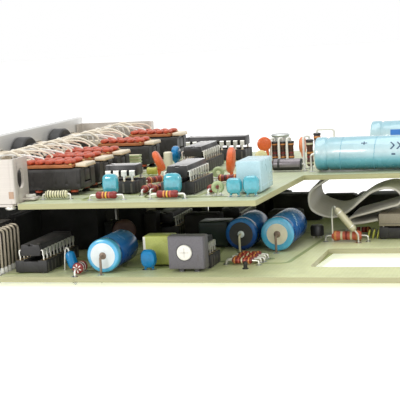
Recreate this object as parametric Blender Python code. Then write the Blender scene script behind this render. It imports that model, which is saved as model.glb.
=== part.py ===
"""Compressor module: a front panel with push switches and knobs, and two stacked circuit boards.

Units are metres, +Z is up, and +X runs from the front panel along the boards. The origin is the
middle of the panel's bottom edge. Y runs from the near long edge of the boards to the far one.
"""

import math

import bpy
import bmesh
from mathutils import Matrix, Vector

# Overall sizes
PANEL_LENGTH = 0.1334
PANEL_WIDTH = 0.0403
PANEL_T = 0.0025
PANEL_EDGE_CHAMFER = 0.0003
GAP = 0.0003
SHARP_ANGLE_DEGREES = 35
OVERRUN = 0.002
SINK = 0.0002

# Boards
BOARD_T = 0.0016
BOARD_SPAN = 0.1290
BOARD_INSET = 0.0012
BOARD_PITCH = 0.0217
UPPER_SETBACK = 0.0316
UPPER_LENGTH = 0.1500
LOWER_SETBACK = 0.0160
LOWER_LENGTH = 0.1720
NOTCH_START = 0.0738
NOTCH_DEPTH = 0.0542
NOTCH_SLANT = 0.0020
WINDOW_START = 0.0985
WINDOW_LENGTH = 0.0500
WINDOW_NEAR = 0.0150
WINDOW_DEPTH = 0.0288
TONGUE_LENGTH = 0.0090
TONGUE_SPAN = 0.0800

# Spacers with their screws
SCREW_HEAD_T = 0.0012
SCREW_HEAD_R = 0.0028
SCREW_R = 0.0015
SPACER_R = 0.0032
SPACER_FRONT = 0.0064
SPACER_REAR = 0.1430
SPACER_REAR_NEAR_ROW = 0.0620
SPACER_REAR_FAR_INSET = 0.0090
HEX_SIDES = 6

# Front panel controls
FIRST_CONTROL = 0.0226
LAST_CONTROL = 0.0142
CONTROL_COUNT = 7
CONTROL_PITCH = (PANEL_LENGTH - BOARD_INSET - FIRST_CONTROL - LAST_CONTROL) / (CONTROL_COUNT - 1)
SWITCH_SLOTS = (0, 1, 2, 4, 6)
POT_SLOTS = (3, 5)
CONTROL_RISE = 0.0057
FIXING_HOLE_R = 0.0017
FIXING_HOLE_END = 0.0040
FIXING_HOLE_SIDE = 0.0075

# Push switches
HOUSING_FRONT = 0.0201
HOUSING_LENGTH = 0.0249
SWITCH_CLEARANCE = 0.0035
HOUSING_SPAN = CONTROL_PITCH - SWITCH_CLEARANCE
HOUSING_LIFT = 0.00175
HOUSING_H = 0.00635
HOUSING_CHAMFER = 0.0004
BAR_SPAN = 0.0040
BAR_H = 0.0034
CAP_SIDE = 0.0090
CAP_PROUD = 0.0080
CAP_INSIDE = 0.0030
CAP_CORNER = 0.0008
CAP_DISH_R = 0.0036
CAP_DISH_SHARES = (0.15, 0.6, 1.0)
CAP_DISH_DEPTH = 0.0004
TONGUE_BLOCK_LENGTH = 0.0035
TONGUE_BLOCK_SPAN = 0.0080
TONGUE_BLOCK_H = 0.0011
TONGUE_BLOCK_PROUD = 0.0013
NECK_LENGTH = 0.0019
NECK_SPAN = 0.0032
LEG_PITCH = 0.0039
LEG_COUNT = 5
LEG_FIRST = 0.0066
LEG_INSET = 0.0016
LEG_ROW = HOUSING_SPAN / 2 - LEG_INSET
LEG_SPAN = 0.0018
LEG_T = 0.0008

# Terminal strips on the switches
STRIP_START = 0.0060
STRIP_LENGTH = 0.0164
STRIP_INSET = 0.0004
STRIP_SPAN = HOUSING_SPAN - 2 * STRIP_INSET
STRIP_T = 0.0009
TAG_COUNT = 5
TAG_R = 0.0010
TAG_LENGTH = 0.0034
TAG_ROW = 0.0028
TAG_SIDES = 6
TAG_SEAT_SHARE = 0.75

# Potentiometers and knobs
POT_CLEARANCE = 0.0035
POT_CAN_R = CONTROL_PITCH - CAP_SIDE / 2 - POT_CLEARANCE
POT_CAN_L = 0.0046
POT_BACK_STEP = 0.0023
POT_BACK_R = POT_CAN_R - POT_BACK_STEP
POT_BACK_L = 0.0072
POT_LUG_DROP = 0.0030
POT_LUG_SPAN = 0.0016
POT_LUG_T = 0.0006
POT_LUG_PITCH = 0.0040
BUSHING_R = 0.0035
BUSHING_PROUD = 0.0045
BUSHING_CLEARANCE = 0.0003
SHAFT_R = 0.0020
SHAFT_DEPTH = 0.0060
KNOB_R = 0.0060
KNOB_TIP_R = 0.0052
KNOB_LENGTH = 0.0130
KNOB_ROUND = 0.0008
POINTER_SPAN = 0.0010
POINTER_DEPTH = 0.0006
ROUND_SIDES = 16
SMALL_SIDES = 8

# Sheet brackets at both ends of the panel
BRACKET_T = 0.0008
BRACKET_REACH = 0.0310
BRACKET_H = 0.0132
BRACKET_DROP = 0.0008
BRACKET_FLANGE = 0.0100
BRACKET_PANEL_FLANGE = 0.0050
BRACKET_FOOT_SHARE = 0.6
BRACKET_SIDE_STEP = 0.0002
BRACKET_FAR_INSET = 0.0030
SLOT_NEAR = 0.0030
SLOT_SPAN = 0.0034
SLOT_LOW = 0.0044
SLOT_H = 0.0056
TAB_REACH = 0.0036
TAB_SPAN = 0.0042
TAB_START = 0.0056
FAR_FLANGE = 0.0044

# Dual in line chips and sockets
PIN_PITCH = 0.00254
ROW_HALF = 0.00381
SOCKET_SPAN = 0.0102
SOCKET_H = 0.0036
SOCKET_OPENING = 0.0044
SOCKET_END_BAR = 0.0016
CHIP_SPAN = 0.0064
CHIP_TOP_SPAN = 0.0058
CHIP_T = 0.0033
PLUG_H = 0.0040
CHIP_END_MARGIN = 0.00025
CHIP_NOTCH_R = 0.0008
CHIP_NOTCH_T = 0.0007
CHIP_SHOULDER = 0.0027
LEAD_T = 0.0003
LEAD_W = 0.0012

# Axial electrolytic capacitors
CAN_END_INSET = 0.0006
CAN_END_ROUND = 0.0006
CAN_GROOVE_AT = 0.0032
CAN_GROOVE_W = 0.0012
CAN_GROOVE_DEPTH = 0.0005
RIVET_R = 0.0011
RIVET_L = 0.0009
CAN_LEAD_R = 0.00045
CAN_LEAD_REACH = 0.0018

# Trimmer
TRIMMER_L = 0.0111
TRIMMER_DEPTH = 0.0046
TRIMMER_H = 0.0098
TRIMMER_LIFT = 0.0006
TRIMMER_FOOT_SIDE = 0.0014
TRIMMER_CHAMFER = 0.0004
ROTOR_R = 0.00225
ROTOR_H = 0.0056
ROTOR_ACROSS = 0.0051
ROTOR_T = 0.0014
ROTOR_PROUD = 0.0004
ROTOR_SLOT_W = 0.0007
ROTOR_SLOT_DEPTH = 0.0005
ROTOR_SLOT_SHARE = 0.75
TRIMMER_FOOT_SHARES = (0.25, 0.66)

# Header with bent pins
HEADER_PINS = 7
HEADER_START = 0.0003
HEADER_SPAN = 0.0192
HEADER_NEAR = 0.0002
HEADER_DEPTH = 0.0036
HEADER_H = 0.0140
HEADER_PIN_REACH = 0.0031
HEADER_PIN_SIDE = 0.0007
HEADER_PIN_DROP = 0.0014

# Ribbon cable between the boards
RIBBON_T = 0.0009
RIBBON_SPAN = 0.0203
RIBBON_NEAR = 0.0593
RIBBON_LIFT = 0.0022
RIBBON_STEPS = 3

# Small parts soldered into a board
LEAD_R = 0.0003
LEAD_SIDES = 4
LEAD_OVERHANG = 0.0020
DISC_FEET = 0.0025
BODY_SIDES = 6
DISC_SIDES = 10

# Places on the boards, along from the board's panel end and across from its near edge.
# Chips: name, place of the middle, pins, axis of the pin rows
UPPER_CHIPS = (
    ("upper_amplifier", (0.0256, 0.0221), 8, "X"),
    ("upper_near", (0.0451, 0.0234), 16, "Y"),
    ("upper_middle", (0.0328, 0.0790), 16, "Y"),
    ("upper_far", (0.0310, 0.1063), 18, "X"),
)
LOWER_CHIPS = (
    ("lower_left", (0.0159, 0.0180), 20, "Y"),
    ("lower_middle", (0.0648, 0.0173), 8, "Y"),
    ("lower_far_left", (0.0380, 0.0760), 16, "Y"),
    ("lower_far_right", (0.0590, 0.0840), 16, "Y"),
)
PLUG_AT = (0.1168, 0.0695)
PLUG_PINS = 16
FILM_PALE_AT = (0.0631, 0.0127)
FILM_YELLOW_AT = (0.0482, 0.0152)
FILM_GREEN_AT = (0.0563, 0.0455)
DIODE_AT = (0.0614, 0.0650)
TRIMMER_AT = (0.0587, 0.0064)

# Axial capacitors: name, place of the front end, radius, length
UPPER_CANS = (
    ("upper_big_capacitor", (0.0766, 0.0630), 0.00535, 0.0345),
    ("upper_rear_capacitor", (0.0884, 0.1010), 0.0061, 0.0300),
)
LOWER_CANS = (
    ("lower_capacitor_1", (0.0391, 0.0050), 0.0050, 0.0178),
    ("lower_capacitor_2", (0.0716, 0.0404), 0.0050, 0.0182),
    ("lower_capacitor_3", (0.0836, 0.0386), 0.0052, 0.0204),
)

# Sizes of the other parts that stand at those places
FILM_PALE_SIZE = (0.0074, 0.0142, 0.0092)
FILM_YELLOW_SIZE = (0.0088, 0.0060, 0.0090)
FILM_GREEN_SIZE = (0.0096, 0.0080, 0.0082)
FILM_CHAMFER = 0.0006
DIODE_R = 0.0019
DIODE_L = 0.0096
DIODE_BAND_R = 0.0020
DIODE_BAND_L = 0.0010
DIODE_BAND_SHARE = 0.28


# Small resistors: along, across, turn in degrees
UPPER_RESISTORS = (
    (0.0257, 0.0058, 0),
    (0.0444, 0.0058, 0),
    (0.0335, 0.0197, 90),
    (0.0368, 0.0203, 80),
    (0.0290, 0.0400, 60),
    (0.0545, 0.0180, 90),
    (0.0530, 0.0400, 0),
    (0.0560, 0.0700, 0),
    (0.0560, 0.0740, 0),
)
LOWER_RESISTORS = (
    (0.0777, 0.0183, 0),
    (0.0777, 0.0208, 0),
    (0.0777, 0.0233, 0),
    (0.0777, 0.0258, 0),
    (0.0777, 0.0283, 0),
    (0.1040, 0.0710, 0),
    (0.0400, 0.0500, 90),
    (0.0440, 0.0500, 90),
)
SMALL_RESISTOR_L = 0.0064
SMALL_RESISTOR_R = 0.00115
RING_RESISTOR_AT = (0.0081, 0.0094)
RING_RESISTOR_L = 0.0072
RING_RESISTOR_R = 0.0014
RING_RESISTOR_OVERHANG = 0.0009
STRIPED_RESISTOR_AT = (0.0312, 0.0048)
STRIPED_RESISTOR_L = 0.0046
STRIPED_RESISTOR_R = 0.0018
ORANGE_RESISTOR_AT = (0.1019, 0.0562)
ORANGE_RESISTOR_L = 0.0096
ORANGE_RESISTOR_R = 0.0016
PART_LIFT = 0.0003

# Ceramic discs: along, across, radius, thickness, lift, turn, lean
UPPER_DISCS = (
    (0.0256, 0.0099, 0.0028, 0.0024, 0.0015, 0, 0),
    (0.0449, 0.0096, 0.0028, 0.0024, 0.0014, 0, 0),
    (0.0637, 0.0083, 0.0023, 0.0024, 0.0008, 0, 0),
    (0.0687, 0.0083, 0.0023, 0.0024, 0.0008, 0, 0),
    (0.0250, 0.0565, 0.0036, 0.0023, 0.0018, 104, -24),
    (0.0507, 0.0524, 0.0042, 0.0025, 0.0014, 98, 6),
    (0.0220, 0.0842, 0.0029, 0.0026, 0.0018, 95, 0),
    (0.0486, 0.0445, 0.0018, 0.0016, 0.0009, 20, 0),
    (0.0579, 0.0113, 0.0018, 0.0016, 0.0006, 20, 0),
    (0.0520, 0.0865, 0.0022, 0.0018, 0.0006, 20, 0),
    (0.0518, 0.0925, 0.0022, 0.0018, 0.0052, 20, 0),
    (0.0640, 0.0990, 0.0029, 0.0022, 0.0022, 92, 0),
)
LOWER_DISCS = (
    (0.0512, 0.0110, 0.0027, 0.0024, 0.0006, 0, 0),
    (0.0330, 0.0440, 0.0042, 0.0024, 0.0040, 30, 0),
)

# Resistors stood on end: along, across, length, loop, turn
UPPER_STANDING = (
    (0.0545, 0.0960, 0.0062, 0.0020, 245),
    (0.0574, 0.0960, 0.0062, 0.0020, 245),
    (0.0603, 0.0960, 0.0062, 0.0020, 245),
    (0.0722, 0.0725, 0.0088, 0.0022, 215),
    (0.0705, 0.0930, 0.0090, 0.0060, 0),
)
LOWER_STANDING = (
    (0.0276, 0.0090, 0.0048, 0.0017, 90),
)
STANDING_R = 0.0012

# Cans and blocks without a node of their own: along, across, radius or half side, height
TRANSISTOR_AT = (0.0910, 0.0630)
TRANSISTOR_R = 0.0024
TRANSISTOR_H = 0.0046
GREY_CAN_AT = (0.0540, 0.1080)
GREY_CAN_R = 0.0035
GREY_CAN_H = 0.0086
BLOCK_ALONG = 0.0096
BLOCK_FROM_POT = 0.0043
BLOCK_SIZE = (0.0050, 0.0036, 0.0068)
BEAD_AT = (0.0206, 0.0620)
BEAD_L = 0.0036
BEAD_R = 0.0013
TEST_PIN_AT = (0.0802, 0.0122)
TEST_PIN_R = 0.0006
TEST_PIN_H = 0.0022
LOWER_BLOCKS = (
    ((0.0004, 0.0220), (0.0038, 0.0190, 0.0150)),
    ((0.0020, 0.0430), (0.0210, 0.0090, 0.0160)),
    ((0.0240, 0.0595), (0.0080, 0.0065, 0.0130)),
    ((0.0470, 0.0600), (0.0120, 0.0060, 0.0090)),
    ((0.0730, 0.0700), (0.0110, 0.0070, 0.0080)),
    ((0.0270, 0.0960), (0.0150, 0.0090, 0.0120)),
    ((0.0440, 0.0980), (0.0210, 0.0080, 0.0110)),
    ((0.0680, 0.0980), (0.0170, 0.0080, 0.0095)),
    ((0.0970, 0.1000), (0.0230, 0.0120, 0.0085)),
)
SLANTED_TOP = (0.0992, 0.0538, 0.0110)
SLANTED_LOW = (0.1050, 0.0538, 0.0039)
SLANTED_R = 0.00115
SLANTED_FOOT = 0.0016

# Ribbon cable route: along the lower board and up from its top face
RIBBON_ROUTE = (
    (0.0956, 0.0194),
    (0.0927, 0.0176),
    (0.0903, 0.0158),
    (0.0895, 0.0132),
    (0.0903, 0.0099),
    (0.0935, 0.0080),
    (0.0977, 0.0074),
    (0.1020, 0.0092),
    (0.1066, 0.0129),
    (0.1099, 0.0153),
    (0.1144, 0.0164),
    (0.1177, 0.0157),
    (0.1193, 0.0133),
    (0.1182, 0.0113),
    (0.1154, 0.0104),
    (0.1073, 0.0083),
    (0.1032, 0.0072),
    (0.1020, 0.0061),
    (0.1034, 0.0052),
    (0.1070, 0.0055),
    (0.1114, 0.0063),
)
RIBBON_LIFT_END = 9

# Wire loom behind the panel
LOOM_R = 0.0013
LOOM_SIDES = 6
LOOM_FROM_PANEL = 0.0155
LOOM_UP = 0.0115
LOOM_END = 0.0060
WIRE_R = 0.0005
WIRE_ARCH = 0.0026
WIRE_SPREAD = 0.0030
WIRE_TO_BOARD_UP = 0.0130
WIRE_FOOT_ALONG = 0.0030
WIRE_STEPS = 1

# Heights that follow from the stack
LOWER_BOTTOM = SCREW_HEAD_T + GAP
LOWER_TOP = LOWER_BOTTOM + BOARD_T
UPPER_TOP = LOWER_TOP + BOARD_PITCH
UPPER_BOTTOM = UPPER_TOP - BOARD_T
CONTROL_Z = UPPER_TOP + CONTROL_RISE
PANEL_BACK = PANEL_T / 2
PANEL_FRONT = -PANEL_T / 2
NEAR_EDGE = -PANEL_LENGTH / 2 + BOARD_INSET
FAR_EDGE = NEAR_EDGE + BOARD_SPAN
UPPER_START = PANEL_BACK + UPPER_SETBACK
UPPER_END = UPPER_START + UPPER_LENGTH
LOWER_START = PANEL_BACK + LOWER_SETBACK
LOWER_END = LOWER_START + LOWER_LENGTH
HOUSING_START = PANEL_BACK + HOUSING_FRONT
HOUSING_END = HOUSING_START + HOUSING_LENGTH
HOUSING_BOTTOM = UPPER_TOP + HOUSING_LIFT
HOUSING_TOP = HOUSING_BOTTOM + HOUSING_H


def control_row(slot):
    """A control position's distance from the boards' near edge."""
    return FIRST_CONTROL + slot * CONTROL_PITCH


def control_y(slot):
    """Middle of a control position, counted from the near end of the panel."""
    return NEAR_EDGE + control_row(slot)


def upper(along, across, up=0.0):
    """A point on the upper board, up from its top face."""
    return Vector((UPPER_START + along, NEAR_EDGE + across, UPPER_TOP + up))


def lower(along, across, up=0.0):
    """A point on the lower board, up from its top face."""
    return Vector((LOWER_START + along, NEAR_EDGE + across, LOWER_TOP + up))


def clear_scene():
    for old in list(bpy.data.objects):
        bpy.data.objects.remove(old, do_unlink=True)


def material(name, colour, roughness, metallic=0.0):
    made = bpy.data.materials.new(name)
    made.use_nodes = True
    shader = made.node_tree.nodes["Principled BSDF"]
    shader.inputs["Base Color"].default_value = (*colour, 1.0)
    shader.inputs["Roughness"].default_value = roughness
    shader.inputs["Metallic"].default_value = metallic
    return made


# Shapes, each one closed body in a bmesh of its own
def loft(rings):
    """A skin over rings of equal count, capped at both ends."""
    shape = bmesh.new()
    loops = [[shape.verts.new(p) for p in ring] for ring in rings]
    count = len(loops[0])
    for first, second in zip(loops, loops[1:]):
        for i in range(count):
            j = (i + 1) % count
            shape.faces.new((first[i], first[j], second[j], second[i]))
    shape.faces.new(list(reversed(loops[0])))
    shape.faces.new(loops[-1])
    bmesh.ops.recalc_face_normals(shape, faces=shape.faces)
    return shape


def box(low, high, chamfer=0.0):
    """A block between two corners, with all edges cut by the chamfer."""
    low, high = Vector(low), Vector(high)
    shape = bmesh.new()
    bmesh.ops.create_cube(shape, size=1.0)
    middle, size = (low + high) / 2, high - low
    bmesh.ops.scale(shape, vec=size, verts=shape.verts)
    bmesh.ops.translate(shape, vec=middle, verts=shape.verts)
    if chamfer:
        bmesh.ops.bevel(shape, geom=shape.edges[:], offset=chamfer, segments=1, affect="EDGES")
    return shape


def prism(outline, low, high, axis="Z"):
    """An outline of two coordinates, extruded along an axis between two places."""
    def place(a, b, c):
        return {"X": (c, a, b), "Y": (a, c, b), "Z": (a, b, c)}[axis]
    return loft([[Vector(place(a, b, c)) for a, b in outline] for c in (low, high)])


def turned(profile, at, axis="Z", sides=ROUND_SIDES):
    """A profile of (radius, height) turned round an axis."""
    rings = []
    for radius, height in profile:
        ring = []
        for step in range(sides):
            angle = math.tau * step / sides
            a, b = radius * math.cos(angle), radius * math.sin(angle)
            spot = {"X": (height, a, b), "Y": (a, height, b), "Z": (a, b, height)}[axis]
            ring.append(Vector(at) + Vector(spot))
        rings.append(ring)
    return loft(rings)


def tube(points, radius, sides=LEAD_SIDES):
    """A round wire through points, with flat ends."""
    points = [Vector(p) for p in points]
    rings = []
    side = None
    for i, point in enumerate(points):
        before = points[max(i - 1, 0)]
        after = points[min(i + 1, len(points) - 1)]
        along = (after - before).normalized()
        if side is None:
            side = along.orthogonal().normalized()
        side = (side - along * side.dot(along)).normalized()
        other = along.cross(side)
        rings.append([point + radius * (math.cos(math.tau * k / sides) * side
                                        + math.sin(math.tau * k / sides) * other)
                      for k in range(sides)])
    return loft(rings)


def smooth_route(points, steps):
    """Points read from a smooth curve through the given ones."""
    points = [Vector(p) for p in points]
    padded = [2 * points[0] - points[1], *points, 2 * points[-1] - points[-2]]
    route = []
    for a, b, c, d in zip(padded, padded[1:], padded[2:], padded[3:]):
        for step in range(steps):
            t = step / steps
            route.append(0.5 * ((2 * b) + (c - a) * t + (2 * a - 5 * b + 4 * c - d) * t * t
                                + (3 * b - a - 3 * c + d) * t ** 3))
    route.append(points[-1])
    return route


def moved(shape, matrix):
    shape.transform(matrix)
    return shape


def as_object(name, shapes):
    """One object that holds all the given bodies."""
    mesh = bpy.data.meshes.new(name)
    whole = bmesh.new()
    for shape in shapes:
        part = bpy.data.meshes.new(name + "_part")
        shape.to_mesh(part)
        shape.free()
        whole.from_mesh(part)
        bpy.data.meshes.remove(part)
    whole.to_mesh(mesh)
    whole.free()
    made = bpy.data.objects.new(name, mesh)
    bpy.context.scene.collection.objects.link(made)
    return made


def carve(target, shapes, operation):
    """Unites shapes with an object's mesh, or cuts them from it."""
    tool = as_object(target.name + "_tool", shapes)
    change = target.modifiers.new(operation.lower(), "BOOLEAN")
    change.operation = operation
    change.solver = "EXACT"
    change.use_self = True
    change.object = tool
    view = bpy.context.evaluated_depsgraph_get()
    result = bpy.data.meshes.new_from_object(target.evaluated_get(view))
    target.modifiers.clear()
    old = target.data
    target.data = result
    bpy.data.meshes.remove(old)
    bpy.data.objects.remove(tool, do_unlink=True)


def solid(name, body, finish, add=(), cut=(), smooth=False, origin=None):
    """A named object made of a body, with shapes united to it and others cut away."""
    made = as_object(name, [body])
    if add:
        carve(made, list(add), "UNION")
    if cut:
        carve(made, list(cut), "DIFFERENCE")
    made.data.materials.clear()
    made.data.materials.append(finish)
    if smooth:
        made.data.shade_smooth()
        made.data.set_sharp_from_angle(angle=math.radians(SHARP_ANGLE_DEGREES))
    if origin is not None:
        made.data.transform(Matrix.Translation(-Vector(origin)))
        made.location = origin
    return made


# Small parts that are soldered into a board and stay part of its solid
def resistor(place, along, across, length, radius, lift, turn=0.0, overhang=LEAD_OVERHANG):
    """A small cylinder on two bent leads, as bodies to unite with the board."""
    middle = place(along, across, lift + radius)
    spin = Matrix.Rotation(turn, 4, "Z")
    direction = spin @ Vector((1, 0, 0))
    body = turned([(radius, -length / 2), (radius, length / 2)], (0, 0, 0), "X", BODY_SIDES)
    moved(body, Matrix.Translation(middle) @ spin)
    half = length / 2
    foot = -(lift + radius + SINK)
    shapes = [body]
    for sign in (-1, 1):
        start = middle + direction * sign * (half - SINK)
        knee = middle + direction * sign * (half + overhang)
        shapes.append(tube([start, knee, knee + Vector((0, 0, foot))], LEAD_R))
    return shapes


def upright_disc(place, along, across, radius, thickness, lift, turn=0.0, lean=0.0, feet=DISC_FEET):
    """A ceramic disc on edge with two leads."""
    rim = thickness / 2
    body = turned([(radius - rim, -rim), (radius, -rim / 2), (radius, rim / 2), (radius - rim, rim)],
                  (0, 0, 0), "Y", DISC_SIDES)
    middle = place(along, across, lift + radius)
    moved(body, Matrix.Translation(middle) @ Matrix.Rotation(turn, 4, "Z") @ Matrix.Rotation(lean, 4, "X"))
    shapes = [body]
    side = Matrix.Rotation(turn, 4, "Z") @ Vector((feet / 2, 0, 0))
    for sign in (-1, 1):
        low = place(along, across, -SINK) + side * sign
        high = place(along, across, lift + radius / 2) + side * sign / 2
        shapes.append(tube([high, low], LEAD_R))
    return shapes


def standing_resistor(place, along, across, length, radius, loop, turn=0.0):
    """A resistor stood on end, its upper lead folded back down to the board."""
    base = place(along, across, LEAD_R)
    shapes = [turned([(radius, 0.0), (radius, length)], base + Vector((0, 0, GAP)), "Z", BODY_SIDES)]
    shapes.append(tube([base + Vector((0, 0, GAP + SINK)), base - Vector((0, 0, LEAD_R + SINK))], LEAD_R))
    side = Matrix.Rotation(turn, 4, "Z") @ Vector((loop, 0, 0))
    top = base + Vector((0, 0, GAP + length))
    crown = top + side / 2 + Vector((0, 0, loop / 2))
    shapes.append(tube([top - Vector((0, 0, SINK)), crown, top + side,
                        base + side - Vector((0, 0, LEAD_R + SINK))], LEAD_R))
    return shapes


def seated_box(place, at, size, chamfer=0.0, lift=GAP):
    """A block whose near corner on the panel side stands at a place on a board."""
    low = place(at[0], at[1], lift)
    return box(low, low + Vector(size), chamfer)


def screw_hole(place, along, across):
    """A clearance hole through a board."""
    return turned([(SCREW_R + GAP, -BOARD_T - OVERRUN), (SCREW_R + GAP, OVERRUN)],
                  place(along, across), "Z", SMALL_SIDES)


SPACERS = (
    ("spacer_front_near", SPACER_FRONT, control_row(POT_SLOTS[0])),
    ("spacer_front_far", SPACER_FRONT, control_row(POT_SLOTS[1])),
    ("spacer_rear_near", SPACER_REAR, SPACER_REAR_NEAR_ROW),
    ("spacer_rear_far", SPACER_REAR, BOARD_SPAN - SPACER_REAR_FAR_INSET),
)
BOARD_OFFSET = UPPER_SETBACK - LOWER_SETBACK


def small_parts_upper():
    shapes = []
    for along, across, turn in UPPER_RESISTORS:
        shapes += resistor(upper, along, across, SMALL_RESISTOR_L, SMALL_RESISTOR_R, PART_LIFT,
                           math.radians(turn))
    shapes += resistor(upper, *RING_RESISTOR_AT, RING_RESISTOR_L, RING_RESISTOR_R, PART_LIFT,
                       overhang=RING_RESISTOR_OVERHANG)
    for along, across, radius, thickness, lift, turn, lean in UPPER_DISCS:
        shapes += upright_disc(upper, along, across, radius, thickness, lift,
                               math.radians(turn), math.radians(lean))
    for along, across, length, loop, turn in UPPER_STANDING:
        shapes += standing_resistor(upper, along, across, length, STANDING_R, loop, math.radians(turn))
    can = [(GREY_CAN_R, -SINK), (GREY_CAN_R, GREY_CAN_H)]
    shapes.append(turned(can, upper(*GREY_CAN_AT), "Z", BODY_SIDES))
    block_at = (BLOCK_ALONG, control_row(POT_SLOTS[0]) - BLOCK_FROM_POT)
    shapes.append(seated_box(upper, block_at, BLOCK_SIZE, lift=-SINK))
    shapes += resistor(upper, *BEAD_AT, BEAD_L, BEAD_R, PART_LIFT)
    return shapes


def small_parts_lower():
    shapes = []
    for along, across, turn in LOWER_RESISTORS:
        shapes += resistor(lower, along, across, SMALL_RESISTOR_L, SMALL_RESISTOR_R, PART_LIFT,
                           math.radians(turn))
    shapes += resistor(lower, *STRIPED_RESISTOR_AT, STRIPED_RESISTOR_L, STRIPED_RESISTOR_R, PART_LIFT,
                       math.pi / 2)
    shapes += resistor(lower, *ORANGE_RESISTOR_AT, ORANGE_RESISTOR_L, ORANGE_RESISTOR_R, PART_LIFT)
    for along, across, radius, thickness, lift, turn, lean in LOWER_DISCS:
        shapes += upright_disc(lower, along, across, radius, thickness, lift,
                               math.radians(turn), math.radians(lean))
    for along, across, length, loop, turn in LOWER_STANDING:
        shapes += standing_resistor(lower, along, across, length, STANDING_R, loop, math.radians(turn))
    posts = ((TRANSISTOR_AT, TRANSISTOR_R, TRANSISTOR_H), (TEST_PIN_AT, TEST_PIN_R, TEST_PIN_H))
    for at, radius, height in posts:
        shapes.append(turned([(radius, -SINK), (radius, height)], lower(*at), "Z", BODY_SIDES))
    for at, size in LOWER_BLOCKS:
        shapes.append(seated_box(lower, at, size, lift=-SINK))
    top, low = lower(*SLANTED_TOP), lower(*SLANTED_LOW)
    along = (low - top).normalized()
    foot = low + along * SLANTED_FOOT
    shapes.append(tube([top, low], SLANTED_R, BODY_SIDES))
    shapes.append(tube([low - along * SINK, foot, Vector((foot.x, foot.y, LOWER_TOP - SINK))], LEAD_R))
    return shapes


def boards(finish):
    notch = UPPER_START + NOTCH_START
    outline = [
        (UPPER_START, NEAR_EDGE),
        (notch - NOTCH_SLANT, NEAR_EDGE),
        (notch, NEAR_EDGE + NOTCH_DEPTH),
        (UPPER_END, NEAR_EDGE + NOTCH_DEPTH),
        (UPPER_END, FAR_EDGE),
        (UPPER_START, FAR_EDGE),
    ]
    holes = [screw_hole(upper, along, across) for _, along, across in SPACERS]
    solid("upper_board", prism(outline, UPPER_BOTTOM, UPPER_TOP), finish, small_parts_upper(), holes)

    middle = (NEAR_EDGE + FAR_EDGE) / 2
    tongue = LOWER_END + TONGUE_LENGTH
    outline = [
        (LOWER_START, NEAR_EDGE),
        (LOWER_END, NEAR_EDGE),
        (LOWER_END, middle - TONGUE_SPAN / 2),
        (tongue, middle - TONGUE_SPAN / 2),
        (tongue, middle + TONGUE_SPAN / 2),
        (LOWER_END, middle + TONGUE_SPAN / 2),
        (LOWER_END, FAR_EDGE),
        (LOWER_START, FAR_EDGE),
    ]
    window_low = lower(WINDOW_START, WINDOW_NEAR, -BOARD_T - OVERRUN)
    window = box(window_low, window_low + Vector((WINDOW_LENGTH, WINDOW_DEPTH, BOARD_T + 2 * OVERRUN)))
    holes = [screw_hole(lower, along + BOARD_OFFSET, across) for _, along, across in SPACERS]
    solid("lower_board", prism(outline, LOWER_BOTTOM, LOWER_TOP), finish, small_parts_lower(),
          [window, *holes])


def spacers(finish):
    """Hexagonal posts between the boards, each with its two screws in one solid."""
    head_top = UPPER_TOP + GAP + SCREW_HEAD_T
    profile = [
        (SCREW_HEAD_R, 0.0),
        (SCREW_HEAD_R, SCREW_HEAD_T),
        (SCREW_R, SCREW_HEAD_T),
        (SCREW_R, LOWER_TOP + GAP),
        (SPACER_R, LOWER_TOP + GAP),
        (SPACER_R, UPPER_BOTTOM - GAP),
        (SCREW_R, UPPER_BOTTOM - GAP),
        (SCREW_R, UPPER_TOP + GAP),
        (SCREW_HEAD_R, UPPER_TOP + GAP),
        (SCREW_HEAD_R, head_top),
    ]
    for name, along, across in SPACERS:
        spot = upper(along, across)
        solid(name, turned(profile, (spot.x, spot.y, 0.0), "Z", HEX_SIDES), finish)


def front_panel(finish):
    half = PANEL_LENGTH / 2
    plate = box((PANEL_FRONT, -half, 0.0), (PANEL_BACK, half, PANEL_WIDTH), PANEL_EDGE_CHAMFER)
    holes = []
    window = CAP_SIDE / 2 + GAP
    for slot in SWITCH_SLOTS:
        y = control_y(slot)
        holes.append(box((PANEL_FRONT - OVERRUN, y - window, CONTROL_Z - window),
                         (PANEL_BACK + OVERRUN, y + window, CONTROL_Z + window)))
    span = [PANEL_FRONT - OVERRUN, PANEL_BACK + OVERRUN]
    for slot in POT_SLOTS:
        holes.append(turned([(BUSHING_R + BUSHING_CLEARANCE, x) for x in span],
                            (0.0, control_y(slot), CONTROL_Z), "X", ROUND_SIDES))
    for y in (-half + FIXING_HOLE_END, half - FIXING_HOLE_END):
        for z in (FIXING_HOLE_SIDE, PANEL_WIDTH - FIXING_HOLE_SIDE):
            holes.append(turned([(FIXING_HOLE_R, x) for x in span], (0.0, y, z), "X", SMALL_SIDES))
    solid("front_panel", plate, finish, cut=holes)


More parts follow.
